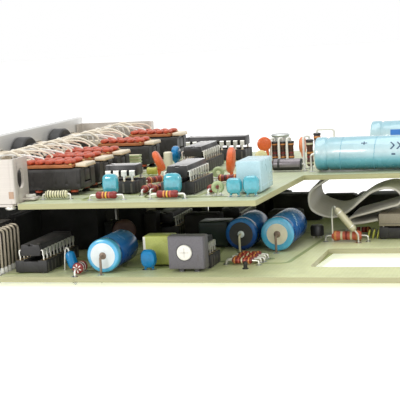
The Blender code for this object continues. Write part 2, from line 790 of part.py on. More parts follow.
def push_switch(number, slot, black, cream, phenolic):
    y = control_y(slot)
    bar_low = CONTROL_Z - BAR_H / 2
    bar_top = CONTROL_Z + BAR_H / 2
    body = box((HOUSING_START, y - HOUSING_SPAN / 2, HOUSING_BOTTOM),
               (HOUSING_END, y + HOUSING_SPAN / 2, HOUSING_TOP), HOUSING_CHAMFER)
    groove_half = BAR_SPAN / 2 + GAP
    groove = box((HOUSING_START - OVERRUN, y - groove_half, bar_low - GAP),
                 (HOUSING_END + OVERRUN, y + groove_half, HOUSING_TOP + OVERRUN))
    legs = []
    for row in (-1, 1):
        for index in range(LEG_COUNT):
            x = HOUSING_START + LEG_FIRST + index * LEG_PITCH
            legs.append(box((x - LEG_SPAN / 2, y + row * LEG_ROW - LEG_T / 2, UPPER_TOP + GAP),
                            (x + LEG_SPAN / 2, y + row * LEG_ROW + LEG_T / 2, HOUSING_BOTTOM + SINK)))
    solid(f"switch_{number}_housing", body, black, legs, [groove])

    cap_half = CAP_SIDE / 2
    cap_start = PANEL_FRONT - CAP_PROUD
    cap_end = PANEL_BACK + CAP_INSIDE
    cap = box((cap_start, y - cap_half, CONTROL_Z - cap_half),
              (cap_end, y + cap_half, CONTROL_Z + cap_half), CAP_CORNER)
    bar = box((cap_end - SINK, y - BAR_SPAN / 2, bar_low), (HOUSING_END, y + BAR_SPAN / 2, bar_top))
    block_low = HOUSING_TOP + GAP
    block_start = HOUSING_END - TONGUE_BLOCK_LENGTH + TONGUE_BLOCK_PROUD
    neck = box((block_start, y - NECK_SPAN / 2, bar_top - SINK),
               (block_start + NECK_LENGTH, y + NECK_SPAN / 2, block_low + SINK))
    block = box((block_start, y - TONGUE_BLOCK_SPAN / 2, block_low),
                (block_start + TONGUE_BLOCK_LENGTH, y + TONGUE_BLOCK_SPAN / 2, block_low + TONGUE_BLOCK_H))
    rings = [(CAP_DISH_R * share, CAP_DISH_DEPTH * (1 - share ** 2)) for share in CAP_DISH_SHARES]
    dish = turned([*rings, (CAP_DISH_R, -OVERRUN)], (cap_start, y, CONTROL_Z), "X", BODY_SIDES)
    solid(f"switch_{number}_button", cap, cream, [bar, neck, block], [dish],
          origin=(cap_start, y, CONTROL_Z))

    strip_start = HOUSING_START + STRIP_START
    strip_low = HOUSING_TOP + GAP
    plate = box((strip_start, y - STRIP_SPAN / 2, strip_low),
                (strip_start + STRIP_LENGTH, y + STRIP_SPAN / 2, strip_low + STRIP_T))
    tags = []
    tag_z = strip_low + STRIP_T + TAG_R * TAG_SEAT_SHARE
    pitch = STRIP_LENGTH / TAG_COUNT
    for row in (-1, 1):
        for index in range(TAG_COUNT):
            x = strip_start + (index + 0.5) * pitch
            tags.append(turned([(TAG_R, -TAG_LENGTH / 2), (TAG_R, TAG_LENGTH / 2)],
                               (x, y + row * TAG_ROW, tag_z), "Y", TAG_SIDES))
    solid(f"switch_{number}_terminals", plate, phenolic, tags)


def potentiometer(number, slot, black, knob_finish):
    y = control_y(slot)
    seat = PANEL_BACK + GAP
    shaft_hole_r = SHAFT_R + GAP
    bushing_end = PANEL_FRONT - BUSHING_PROUD
    hole_end = bushing_end + SHAFT_DEPTH
    profile = [
        (POT_BACK_R, seat + POT_CAN_L + POT_BACK_L),
        (POT_BACK_R, seat + POT_CAN_L),
        (POT_CAN_R, seat + POT_CAN_L),
        (POT_CAN_R, seat),
        (BUSHING_R, seat),
        (BUSHING_R, bushing_end),
        (shaft_hole_r, bushing_end),
        (shaft_hole_r, hole_end + GAP),
    ]
    lugs = []
    lug_x = seat + POT_CAN_L / 2
    for side in (-1, 0, 1):
        lugs.append(box((lug_x - POT_LUG_T / 2, y + side * POT_LUG_PITCH - POT_LUG_SPAN / 2,
                         CONTROL_Z - POT_CAN_R - POT_LUG_DROP),
                        (lug_x + POT_LUG_T / 2, y + side * POT_LUG_PITCH + POT_LUG_SPAN / 2,
                         CONTROL_Z - POT_BACK_R)))
    at = (0.0, y, CONTROL_Z)
    solid(f"pot_{number}_body", turned(profile, at, "X", ROUND_SIDES), black, lugs, smooth=True)

    knob_end = bushing_end - GAP
    tip = knob_end - KNOB_LENGTH
    profile = [
        (SHAFT_R, hole_end),
        (SHAFT_R, knob_end),
        (KNOB_R, knob_end),
        (KNOB_TIP_R, tip + KNOB_ROUND),
        (KNOB_TIP_R - KNOB_ROUND, tip),
    ]
    pointer = box((tip - OVERRUN, y - POINTER_SPAN / 2, CONTROL_Z + SHAFT_R),
                  (tip + POINTER_DEPTH, y + POINTER_SPAN / 2, CONTROL_Z + KNOB_R + OVERRUN))
    solid(f"pot_{number}_knob", turned(profile, at, "X", ROUND_SIDES), knob_finish, cut=[pointer],
          smooth=True, origin=at)


def bracket(name, web_y, inward, flange, tab_start, finish):
    """A folded sheet that ties the panel to one long edge of the upper board."""
    low = UPPER_TOP - BRACKET_DROP
    high = UPPER_TOP + BRACKET_H
    start = PANEL_BACK + GAP
    end = PANEL_BACK + BRACKET_REACH

    def across(distance):
        return web_y + inward * distance

    def sheet(x0, x1, a0, a1, z0, z1):
        ys = sorted((across(a0), across(a1)))
        return box((x0, ys[0], z0), (x1, ys[1], z1))

    outline = [
        (start, across(0.0)),
        (end, across(0.0)),
        (end, across(flange)),
        (end - BRACKET_T, across(flange)),
        (end - BRACKET_T, across(BRACKET_T)),
        (start + BRACKET_T, across(BRACKET_T)),
        (start + BRACKET_T, across(BRACKET_PANEL_FLANGE)),
        (start, across(BRACKET_PANEL_FLANGE)),
    ]
    foot_end = end - 2 * BRACKET_T
    foot = sheet(start + SINK, foot_end, SINK, flange * BRACKET_FOOT_SHARE, low, low + BRACKET_T)
    tab = sheet(end - BRACKET_T / 2, end + TAB_REACH, tab_start, tab_start + TAB_SPAN,
                UPPER_TOP + GAP, UPPER_TOP + GAP + BRACKET_T)
    cuts = []
    if flange > SLOT_NEAR + SLOT_SPAN:
        cuts.append(sheet(end - BRACKET_T - OVERRUN, end + OVERRUN, SLOT_NEAR, SLOT_NEAR + SLOT_SPAN,
                          UPPER_TOP + SLOT_LOW, UPPER_TOP + SLOT_LOW + SLOT_H))
    solid(name, prism(outline, low, high), finish, [foot, tab], cuts)


def dual_in_line(name, place, at, pins, axis, socket_finish, chip_finish, plug=False):
    """A socket standing on a board, and the chip or cable plug in it."""
    per_side = pins // 2
    half_length = per_side * PIN_PITCH / 2
    spin = Matrix.Translation(place(*at)) @ Matrix.Rotation(math.pi / 2 if axis == "Y" else 0.0, 4, "Z")

    def block(x0, x1, y0, y1, z0, z1):
        return moved(box((x0, y0, z0), (x1, y1, z1)), spin)

    half = SOCKET_SPAN / 2
    top = GAP + SOCKET_H
    frame = block(-half_length, half_length, -half, half, GAP, top)
    opening = block(-half_length + SOCKET_END_BAR, half_length - SOCKET_END_BAR,
                    -SOCKET_OPENING / 2, SOCKET_OPENING / 2, -OVERRUN, top + OVERRUN)
    solid(f"{name}_socket", frame, socket_finish, cut=[opening])

    chip_low = top + GAP
    shoulder = chip_low + CHIP_SHOULDER
    chip_half = half_length - CHIP_END_MARGIN
    if plug:
        body = block(-half_length, half_length, -half, half, chip_low, chip_low + PLUG_H)
        solid(f"{name}_plug", body, chip_finish)
        return
    body_low = shoulder - CHIP_T / 2
    body_high = shoulder + CHIP_T / 2
    outline = [
        (-CHIP_TOP_SPAN / 2, body_low),
        (CHIP_TOP_SPAN / 2, body_low),
        (CHIP_SPAN / 2, shoulder),
        (CHIP_TOP_SPAN / 2, body_high),
        (-CHIP_TOP_SPAN / 2, body_high),
        (-CHIP_SPAN / 2, shoulder),
    ]
    body = moved(prism(outline, -chip_half, chip_half, "X"), spin)
    legs = []
    root = CHIP_SPAN / 2 - 2 * SINK
    knee = ROW_HALF + LEAD_T / 2
    for index in range(per_side):
        x = -half_length + (index + 0.5) * PIN_PITCH
        for side in (-1, 1):
            section = [
                (side * root, shoulder + LEAD_T / 2),
                (side * knee, shoulder + LEAD_T / 2),
                (side * knee, chip_low),
                (side * (knee - LEAD_T), chip_low),
                (side * (knee - LEAD_T), shoulder - LEAD_T / 2),
                (side * root, shoulder - LEAD_T / 2),
            ]
            legs.append(moved(prism(section, x - LEAD_W / 2, x + LEAD_W / 2, "X"), spin))
    notch = turned([(CHIP_NOTCH_R, body_high - CHIP_NOTCH_T), (CHIP_NOTCH_R, body_high + OVERRUN)],
                   (-chip_half, 0.0, 0.0), "Z", SMALL_SIDES)
    solid(f"{name}_chip", body, chip_finish, legs, [moved(notch, spin)])


def axial_can(name, place, at, radius, length, axis, finish):
    """An axial electrolytic lying on a board, with its leads bent down to the board."""
    direction = Vector((1, 0, 0)) if axis == "X" else Vector((0, 1, 0))
    start = place(at[0], at[1], GAP + radius)
    groove = CAN_GROOVE_AT + CAN_GROOVE_W
    profile = [
        (RIVET_R, -RIVET_L + CAN_END_INSET),
        (RIVET_R, CAN_END_INSET),
        (radius - 2 * CAN_END_ROUND, CAN_END_INSET),
        (radius - 2 * CAN_END_ROUND, 0.0),
        (radius - CAN_END_ROUND, 0.0),
        (radius, CAN_END_ROUND),
        (radius, CAN_GROOVE_AT),
        (radius - CAN_GROOVE_DEPTH, CAN_GROOVE_AT + CAN_GROOVE_W / 2),
        (radius, groove),
        (radius, length - CAN_END_ROUND),
        (radius - CAN_END_ROUND, length),
    ]
    body = turned(profile, start, axis, ROUND_SIDES)
    shapes = []
    foot = place(0.0, 0.0, GAP).z
    for end, sign in ((Vector(start) - direction * (RIVET_L - CAN_END_INSET), -1),
                      (Vector(start) + direction * length, 1)):
        knee = end + direction * sign * CAN_LEAD_REACH
        shapes.append(tube([end - direction * sign * SINK, knee, Vector((knee.x, knee.y, foot))],
                           CAN_LEAD_R, LEAD_SIDES))
    solid(name, body, finish, shapes, smooth=True)


def diode(finish):
    start = upper(*DIODE_AT, GAP + DIODE_BAND_R)
    band = DIODE_L * DIODE_BAND_SHARE
    profile = [
        (DIODE_R, 0.0),
        (DIODE_R, band),
        (DIODE_BAND_R, band),
        (DIODE_BAND_R, band + DIODE_BAND_L),
        (DIODE_R, band + DIODE_BAND_L),
        (DIODE_R, DIODE_L),
    ]
    leads = []
    for end, sign in ((start, -1), (start + Vector((DIODE_L, 0, 0)), 1)):
        knee = end + Vector((sign * CAN_LEAD_REACH / 2, 0, 0))
        leads.append(tube([end - Vector((sign * SINK, 0, 0)), knee,
                           Vector((knee.x, knee.y, UPPER_TOP + GAP))], LEAD_R))
    solid("power_diode", turned(profile, start, "X", DISC_SIDES), finish, leads, smooth=True)


def trimmer(body_finish, rotor_finish):
    low = lower(*TRIMMER_AT, GAP + TRIMMER_LIFT)
    body = box(low, low + Vector((TRIMMER_L, TRIMMER_DEPTH, TRIMMER_H)), TRIMMER_CHAMFER)
    feet = []
    for share in TRIMMER_FOOT_SHARES:
        x = low.x + TRIMMER_L * share
        y = low.y + (TRIMMER_DEPTH - TRIMMER_FOOT_SIDE) / 2
        feet.append(box((x, y, LOWER_TOP + GAP),
                        (x + TRIMMER_FOOT_SIDE, y + TRIMMER_FOOT_SIDE, low.z + SINK)))
    at = Vector((low.x + ROTOR_ACROSS, low.y, low.z + ROTOR_H - TRIMMER_LIFT))
    depth = ROTOR_T - ROTOR_PROUD
    recess = turned([(ROTOR_R + GAP, -OVERRUN), (ROTOR_R + GAP, depth + GAP)], at, "Y", ROUND_SIDES)
    solid("trimmer_body", body, body_finish, feet, [recess])
    rotor = turned([(ROTOR_R, -ROTOR_PROUD), (ROTOR_R, depth)], at, "Y", ROUND_SIDES)
    reach = ROTOR_R * ROTOR_SLOT_SHARE
    face = at.y - ROTOR_PROUD
    slot = box((at.x - reach, face - OVERRUN, at.z - ROTOR_SLOT_W / 2),
               (at.x + reach, face + ROTOR_SLOT_DEPTH, at.z + ROTOR_SLOT_W / 2))
    solid("trimmer_rotor", rotor, rotor_finish, cut=[slot], smooth=True, origin=at)


def bent_pin_header(finish):
    corner = Vector((LOWER_START + HEADER_START, NEAR_EDGE + HEADER_NEAR, LOWER_TOP + GAP))
    body = box(corner, corner + Vector((HEADER_DEPTH, HEADER_SPAN, HEADER_H)))
    pins = []
    first = corner.y + (HEADER_SPAN - (HEADER_PINS - 1) * PIN_PITCH) / 2
    face = corner.x + HEADER_DEPTH
    high = corner.z + HEADER_H - HEADER_PIN_DROP
    side = HEADER_PIN_SIDE
    reach = face + HEADER_PIN_REACH
    outline = [
        (face - SINK, high),
        (reach - side, high),
        (reach, high - side),
        (reach, LOWER_TOP + GAP),
        (reach - side, LOWER_TOP + GAP),
        (reach - side, high - side),
        (face - SINK, high - side),
    ]
    for index in range(HEADER_PINS):
        y = first + index * PIN_PITCH
        rings = [[Vector((x, yy, z)) for x, z in outline] for yy in (y - side / 2, y + side / 2)]
        pins.append(loft(rings))
    solid("bent_pin_header", body, finish, pins)


def ribbon(finish):
    route = [Vector((LOWER_START + along, 0.0, LOWER_TOP + up)) for along, up in RIBBON_ROUTE]
    path = smooth_route(route, RIBBON_STEPS)
    last_lifted = RIBBON_LIFT_END * RIBBON_STEPS
    near = NEAR_EDGE + RIBBON_NEAR
    rings = []
    for i, point in enumerate(path):
        along = (path[min(i + 1, len(path) - 1)] - path[max(i - 1, 0)]).normalized()
        normal = Vector((-along.z, 0.0, along.x)) * RIBBON_T / 2
        share = min(i / last_lifted, 1.0)
        lift = Vector((0, 0, RIBBON_LIFT * math.sin(math.pi * share)))
        near_point = point + Vector((0, near, 0))
        far_point = point + Vector((0, near + RIBBON_SPAN, 0)) + lift
        rings.append([near_point - normal, near_point + normal, far_point + normal, far_point - normal])
    solid("ribbon_cable", loft(rings), finish)


def wire_loom(finish):
    x = PANEL_BACK + LOOM_FROM_PANEL
    z = UPPER_TOP + LOOM_UP
    ends = (control_y(0) - LOOM_END, control_y(CONTROL_COUNT - 1) + LOOM_END)
    trunk = tube([(x, ends[0], z), (x, ends[1], z)], LOOM_R, LOOM_SIDES)
    target_x = HOUSING_START + STRIP_START - GAP
    target_z = HOUSING_TOP + GAP + STRIP_T / 2
    wires = []
    for slot in SWITCH_SLOTS:
        for side in (-1, 1):
            y = control_y(slot) + side * WIRE_SPREAD
            crest = Vector(((x + target_x) / 2, y, z + WIRE_ARCH))
            route = [
                Vector((x, y, z)),
                crest,
                Vector((target_x - WIRE_ARCH / 2, y, target_z + WIRE_ARCH)),
                Vector((target_x - WIRE_R, y, target_z)),
            ]
            wires.append(tube(smooth_route(route, WIRE_STEPS), WIRE_R, LEAD_SIDES))
    for slot in POT_SLOTS:
        y = control_y(slot) - WIRE_SPREAD
        foot = upper(WIRE_FOOT_ALONG, 0.0, GAP)
        route = [
            Vector((x, y, z)),
            Vector(((x + foot.x) / 2, y, UPPER_TOP + WIRE_TO_BOARD_UP)),
            Vector((foot.x, y, UPPER_TOP + WIRE_TO_BOARD_UP / 2)),
            Vector((foot.x, y, foot.z)),
        ]
        wires.append(tube(smooth_route(route, WIRE_STEPS), WIRE_R, LEAD_SIDES))
    solid("wire_loom", trunk, finish, wires)


def build():
    clear_scene()
    aluminium = material("satin_aluminium", (0.70, 0.70, 0.68), 0.45, 0.9)
    steel = material("zinc_steel", (0.62, 0.60, 0.55), 0.4, 1.0)
    laminate = material("board_laminate", (0.48, 0.52, 0.30), 0.5)
    black = material("black_moulding", (0.03, 0.03, 0.03), 0.5)
    cream = material("cream_plastic", (0.78, 0.70, 0.55), 0.4)
    phenolic = material("brown_phenolic", (0.45, 0.20, 0.08), 0.5)
    socket_black = material("socket_plastic", (0.06, 0.05, 0.045), 0.6)
    chip_black = material("chip_epoxy", (0.04, 0.04, 0.045), 0.35)
    sleeve_cyan = material("pale_cyan_sleeve", (0.25, 0.62, 0.75), 0.25)
    sleeve_blue = material("blue_sleeve", (0.04, 0.18, 0.50), 0.25)
    film_pale = material("pale_film_box", (0.58, 0.78, 0.84), 0.3)
    film_yellow = material("yellow_film_box", (0.60, 0.62, 0.15), 0.35)
    film_green = material("dark_green_film_box", (0.03, 0.08, 0.05), 0.35)
    trimmer_grey = material("trimmer_grey", (0.12, 0.115, 0.12), 0.45)
    white = material("white_plastic", (0.85, 0.85, 0.82), 0.35)
    ribbon_grey = material("ribbon_grey", (0.42, 0.40, 0.36), 0.45)
    wire_cream = material("wire_cream", (0.75, 0.70, 0.60), 0.4)
    knob_grey = material("knob_grey", (0.10, 0.10, 0.11), 0.45)

    front_panel(aluminium)
    boards(laminate)
    spacers(steel)
    bracket("bracket_near", NEAR_EDGE - BRACKET_SIDE_STEP, 1, BRACKET_FLANGE, TAB_START, aluminium)
    bracket("bracket_far", PANEL_LENGTH / 2 - BRACKET_FAR_INSET, -1, FAR_FLANGE, SINK, aluminium)
    for number, slot in enumerate(SWITCH_SLOTS, 1):
        push_switch(number, slot, black, cream, phenolic)
    for number, slot in enumerate(POT_SLOTS, 1):
        potentiometer(number, slot, black, knob_grey)
    for name, at, pins, axis in UPPER_CHIPS:
        dual_in_line(name, upper, at, pins, axis, socket_black, chip_black)
    for name, at, pins, axis in LOWER_CHIPS:
        dual_in_line(name, lower, at, pins, axis, socket_black, chip_black)
    dual_in_line("ribbon", lower, PLUG_AT, PLUG_PINS, "Y", socket_black, ribbon_grey, plug=True)
    for name, at, radius, length in UPPER_CANS:
        axial_can(name, upper, at, radius, length, "X", sleeve_cyan)
    for name, at, radius, length in LOWER_CANS:
        axial_can(name, lower, at, radius, length, "Y", sleeve_blue)
    for name, place, at, size, finish in (
        ("upper_film_capacitor", upper, FILM_PALE_AT, FILM_PALE_SIZE, film_pale),
        ("lower_film_capacitor_yellow", lower, FILM_YELLOW_AT, FILM_YELLOW_SIZE, film_yellow),
        ("lower_film_capacitor_green", lower, FILM_GREEN_AT, FILM_GREEN_SIZE, film_green),
    ):
        solid(name, seated_box(place, at, size, FILM_CHAMFER), finish)
    diode(black)
    trimmer(trimmer_grey, white)
    bent_pin_header(black)
    ribbon(ribbon_grey)
    wire_loom(wire_cream)


build()
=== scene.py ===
"""Looks of the compressor module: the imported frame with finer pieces, a studio and a camera.

Shapes are made in millimetres in the frame's axes and scaled to metres as they become pieces.
"""

import random
from math import copysign, cos, pi, radians, sin, tau

import bpy
import bmesh
from mathutils import Matrix, Vector
from mathutils.geometry import tessellate_polygon


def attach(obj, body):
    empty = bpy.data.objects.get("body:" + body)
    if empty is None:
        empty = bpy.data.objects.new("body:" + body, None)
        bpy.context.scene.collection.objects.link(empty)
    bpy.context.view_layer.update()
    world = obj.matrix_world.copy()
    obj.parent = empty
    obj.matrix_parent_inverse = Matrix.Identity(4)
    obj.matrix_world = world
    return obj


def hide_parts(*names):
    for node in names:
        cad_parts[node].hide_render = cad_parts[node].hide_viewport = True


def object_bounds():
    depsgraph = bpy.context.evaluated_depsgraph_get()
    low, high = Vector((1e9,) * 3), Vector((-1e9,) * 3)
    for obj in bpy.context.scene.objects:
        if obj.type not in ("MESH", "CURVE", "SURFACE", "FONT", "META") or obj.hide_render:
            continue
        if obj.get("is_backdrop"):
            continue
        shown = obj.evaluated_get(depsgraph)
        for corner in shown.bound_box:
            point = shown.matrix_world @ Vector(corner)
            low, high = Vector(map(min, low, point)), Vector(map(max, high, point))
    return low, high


MM = 0.001


def vec(x, y, z):
    return Vector((x, y, z))


X, Y, Z = vec(1, 0, 0), vec(0, 1, 0), vec(0, 0, 1)
chance = random.Random(7)
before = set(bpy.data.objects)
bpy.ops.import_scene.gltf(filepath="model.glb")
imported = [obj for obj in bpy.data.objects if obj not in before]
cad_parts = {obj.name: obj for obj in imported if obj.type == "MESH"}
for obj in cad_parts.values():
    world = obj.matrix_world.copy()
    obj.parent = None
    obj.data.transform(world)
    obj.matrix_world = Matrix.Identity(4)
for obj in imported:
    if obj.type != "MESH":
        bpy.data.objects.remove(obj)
LOW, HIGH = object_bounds()

NEAR_EDGE, FAR_EDGE = -65.5, 63.5
UPPER_START, UPPER_END, UPPER_UNDER, UPPER_TOP = 32.85, 182.85, 23.2, 24.8
LOWER_START, LOWER_END, LOWER_UNDER, LOWER_TOP = 17.25, 189.25, 1.5, 3.1
NOTCH_START, NOTCH_FAR = 106.65, -11.3
TONGUE_END, TONGUE_NEAR, TONGUE_FAR = 198.25, -41, 39
WINDOW_START, WINDOW_END, WINDOW_NEAR, WINDOW_FAR = 115.75, 165.75, -50.5, -21.7
PANEL_HALF = 1.25
HOUSING_START, HOUSING_END = 21.35, 46.25
STRIP_START, STRIP_END, TAG_PITCH = 27.35, 43.75, 3.28
BUTTON_FACE, BUTTON_HALF = -9.2, 4.5
CONTROL_Y = [-42.9 + 15.9 * slot for slot in range(7)]
CONTROL_Z = 30.5
SWITCH_Y = [CONTROL_Y[slot] for slot in (0, 1, 2, 4, 6)]
POT_Y = [CONTROL_Y[slot] for slot in (3, 5)]
PIN_PITCH, PIN_ROW = 2.54, 3.81
GAP = 0.3
LEAD = 0.3

FINE, BROAD = (3000, 3000, 3000), (350, 350, 350)
GRAINS = {"fine": FINE, "broad": BROAD, "middle": (900, 900, 900), "mottled": (700, 700, 700),
          "glazed": (1100, 1100, 1100), "layers": (60, 60, 4200), "folded": (40, 40, 5200),
          "pressed": (300, 2600, 300), "ribbed": (60, 6000, 60)}
ROUGH_SHIFT, COAT_ROUGH, RELIEF = 0.09, 0.08, 0.0002
M = {}


# Finishes
def linear(colour):
    """Linear light from a colour given in 0 to 255."""
    shares = [value / 255 for value in colour]
    return [s / 12.92 if s <= 0.04045 else ((s + 0.055) / 1.055) ** 2.4 for s in shares]


def feed(made, inputs):
    """Gives a node's inputs values, or links them to sockets."""
    for key, value in inputs.items():
        if isinstance(value, bpy.types.NodeSocket):
            made.id_data.links.new(value, made.inputs[key])
        else:
            made.inputs[key].default_value = value


def node(tree, kind, inputs, out=0, **settings):
    """A new node. Gives one of its outputs."""
    made = tree.nodes.new("ShaderNode" + kind)
    for key, value in settings.items():
        setattr(made, key, value)
    feed(made, inputs)
    return made.outputs[out]


def ramp(tree, share, stops):
    """Runs between stops of place and linear colour."""
    colour = node(tree, "ValToRGB", {"Fac": share})
    ends = colour.node.color_ramp.elements
    while len(ends) < len(stops):
        ends.new(0.5)
    for stop, (at, tint) in zip(ends, stops):
        stop.position = at
        stop.color = (*tint, 1)
    return colour


def shader(name):
    return M[name].node_tree.nodes["Principled BSDF"]


def finish(name, colour, rough, spread=0.12, bump=0.08, grain=FINE, metal=0, coat=0):
    """A finish that varies through the body. Gives its place and its tint."""
    M[name] = bpy.data.materials.new(name)
    M[name].use_nodes = True
    tree = M[name].node_tree
    place = node(tree, "TexCoord", {}, "Object")
    stretched = node(tree, "Mapping", {"Vector": place, "Scale": grain})
    noise = node(tree, "TexNoise", {"Vector": stretched, "Scale": 1, "Detail": 5, "Roughness": 0.6})
    base = linear(colour)
    dark, light = ([min(c * share, 1) for c in base] for share in (1 - spread, 1 + spread))
    tint = ramp(tree, noise, ((0.32, dark), (0.68, light)))
    broad = node(tree, "TexNoise", {"Vector": place, "Scale": 220, "Detail": 3})
    low, high = max(rough - ROUGH_SHIFT, 0.03), min(rough + ROUGH_SHIFT, 1)
    shine = node(tree, "MapRange", {"Value": broad, "From Min": 0.3, "From Max": 0.7,
                                    "To Min": low, "To Max": high})
    relief = node(tree, "Bump", {"Strength": bump, "Distance": RELIEF, "Height": noise})
    feed(shader(name), {"Base Color": tint, "Roughness": shine, "Normal": relief, "Metallic": metal,
                        "Coat Weight": coat, "Coat Roughness": COAT_ROUGH})
    return place, tint


def darken(name, factor, first, second):
    """Colours a finish with the product of two tints."""
    mix = node(M[name].node_tree, "Mix", {"Factor": factor, "A": first, "B": second}, "Result",
               data_type="RGBA", blend_type="MULTIPLY")
    feed(shader(name), {"Base Color": mix})


def graded(name, stops, axis, low, high, rough, bump, grain, metal, coat):
    """A finish whose tint runs along one axis."""
    place, mottle = finish(name, (244, 244, 244), rough, 0.05, bump, grain, metal, coat)
    tree = M[name].node_tree
    height = node(tree, "SeparateXYZ", {"Vector": place}, axis)
    share = node(tree, "MapRange", {"Value": height, "From Min": low, "From Max": high})
    darken(name, 1, ramp(tree, share, [(at, linear(colour)) for at, colour in stops]), mottle)


def woven(name, colour, thread):
    """Glass laminate: a weave of two crossed waves."""
    place, mottle = finish(name, colour, 0.42, 0.07, 0.04, (140, 140, 140), coat=0.05)
    tree = M[name].node_tree
    fine = {"Vector": place, "Scale": 260, "Distortion": 1.2}
    waves = [node(tree, "TexWave", fine, "Fac", bands_direction=axis) for axis in ("X", "Y")]
    cross = node(tree, "Math", dict(enumerate(waves)), operation="MULTIPLY")
    darken(name, 0.5, mottle, ramp(tree, cross, ((0, linear(thread)), (1, (1, 1, 1)))))
    feed(shader(name), {"Specular IOR Level": 0.2})


# The finishes of each slot: colour, roughness, spread of tint, relief,
# then the grain, fine if left out, and the metal, 0 if left out
# The lighter epoxy line below colours only the upper chips' tops: a painted highlight over the dark epoxy of
# their sides.
LOOKS = """
[bracket_sheet]
sheet 206 199 190 .42 .05 .08 folded .3
tan_patch 176 146 122 .55 .12 .08 broad
[zinc_steel]
steel 150 147 138 .36 .14 .06 broad .9
tinned 232 230 222 .36 .1 .05 broad .6
solder 190 192 190 .3 .14 .12 broad 1
copper_trace 176 186 128 .4 .1 .04 broad .15
rivet 128 112 98 .4 .16 .1 broad .85
pin_tan 178 168 148 .34 .12 .08 broad .5
brass 200 170 104 .3 .12 .08 broad 1
silver_cream 204 198 168 .34 .08 .06 broad .25
grey_lid 186 190 188 .34 .1 .06 broad .7
lead_brown 134 116 100 .4 .14 .08 broad .35
[board_laminate]
laminate_edge 170 168 124 .5 .14 .12 layers
laminate_edge_lower 172 169 130 .5 .12 .12 layers
[black_moulding]
bakelite 44 41 39 .44 .22 .14 middle
moulding 38 37 37 .42 .16 .12 middle
can_end_dark 50 50 50 .5 .14 .1 broad
slot_shade 96 92 86 .5 .12 .05
dust_brown 20 16 13 .7 .25 .12
diode_grey 124 118 122 .28 .14 .06 broad .3
ring_olive 66 64 44 .4 .12 .06
deep_black 9 9 8 .85 .3 .1
olive 30 29 18 .7 .22 .12
[cream_plastic]
cream 236 222 196 .36 .07 .05
cream_shade 206 178 138 .42 .09 .05
ceramic_yellow 226 216 160 .4 .1 .1
ceramic_pink 228 138 92 .4 .16 .1 mottled
lacquer_cream 222 218 180 .38 .08 .08
can_end_cream 228 222 200 .44 .08 .08 broad
[brown_phenolic]
phenolic 172 104 58 .5 .2 .14 pressed
sleeve_coral 192 84 56 .38 .28 .14 middle
ceramic_orange 226 104 48 .34 .13 .1
ceramic_brown 66 36 25 .5 .16 .1
lacquer_red 134 40 36 .34 .14 .1
lacquer_brown 84 50 36 .36 .14 .1
lacquer_orange 206 102 78 .38 .12 .1
band_gold 222 150 84 .36 .1 .06 fine .1
band_dark 54 34 30 .38 .14 .06
[socket_plastic]
socket 46 45 45 .52 .18 .14 middle
[chip_epoxy]
epoxy 96 92 92 .3 .16 .02
epoxy_dim 36 34 34 .44 .18 .05
[pale_cyan_sleeve]
ceramic_cyan 58 168 186 .16 .14 .05 glazed
can_cyan_deep 104 170 190 .28 .08 .04 broad
can_mark_light 190 226 240 .3 .05 .03 broad
[blue_sleeve]
ceramic_blue 8 126 186 .22 .14 .05 glazed
can_rim 72 176 222 .22 .08 .04 broad
can_mark_blue 50 120 200 .3 .08 .03 broad
can_mark_dark 24 60 96 .32 .1 .03 broad
[pale_film_box]
film_pale 184 216 224 .28 .05 .05
[yellow_film_box]
sleeve_pale_green 176 190 142 .36 .1 .06
bead_yellow 204 206 96 .36 .1 .08
band_yellow 236 200 72 .36 .08 .06
film_yellow 190 196 104 .34 .1 .08
[dark_green_film_box]
film_green 18 34 30 .36 .18 .05
[trimmer_grey]
trimmer_grey 104 101 106 .46 .14 .16
[white_plastic]
band_white 240 236 226 .36 .06 .05
can_end 222 230 232 .42 .06 .06 broad
rotor_white 242 240 232 .36 .05 .05
rotor_shade 226 222 214 .45 .05 .05
knob_mark 236 234 226 .4 .05 .05
[ribbon_grey]
ribbon_outer 196 192 182 .42 .08 .1 ribbed
ribbon_plug 150 140 122 .46 .12 .1
[wire_cream]
wire_cream 238 228 208 .42 .07 .05
wire_white 246 244 238 .4 .05 .05
[knob_grey]
knob_grey 40 41 43 .44 .12 .12
"""
for line in LOOKS.split("\n")[1:-1]:
    if line[0] == "[":
        continue
    name, red, green, blue, rough, spread, bump, *rest = line.split()
    finish(name, (int(red), int(green), int(blue)), float(rough), float(spread), float(bump),
           GRAINS[rest[0]] if rest else FINE, float(rest[1]) if rest[1:] else 0)
for name, index, blur in (("ceramic_cyan", 1.7, 0.08), ("ceramic_blue", 1.3, 0.05), ("can_rim", 1.6, 0.08),
                          ("epoxy", 2.2, 0.26)):
    feed(shader(name), {"Coat Weight": 1, "Coat IOR": index, "Coat Roughness": blur})
feed(shader("epoxy"), {"Sheen Weight": 1, "Sheen Roughness": 0.24})
# The cans' tints run with height as painted light and shade: darkest at the foot, a painted highlight band
# high on the side of the pale cans, lighter towards the top of the blue ones.
PALE_PAINTED_SHADING = ((0, (46, 92, 98)), (0.14, (64, 140, 156)), (0.34, (112, 186, 204)), (0.58, (204, 230, 236)),
        (0.76, (190, 224, 232)), (1, (138, 198, 214)))
BLUE_PAINTED_SHADING = ((0, (16, 40, 92)), (0.3, (22, 70, 140)), (0.7, (34, 108, 182)), (1, (60, 130, 186)))
for name, tints, low, high, coat in (("can_big", PALE_PAINTED_SHADING, 0.0252, 0.0358, 0.8),
                                     ("can_rear", PALE_PAINTED_SHADING, 0.0252, 0.0373, 0.8),
                                     ("can_blue", BLUE_PAINTED_SHADING, 0.0034, 0.0138, 0.1)):
    graded(name, tints, "Z", low, high, 0.24, 0.04, BROAD, 0, coat)
for name, level in (("ceramic_blue", 0.2), ("can_blue", 0.3)):
    feed(shader(name), {"Specular IOR Level": level})
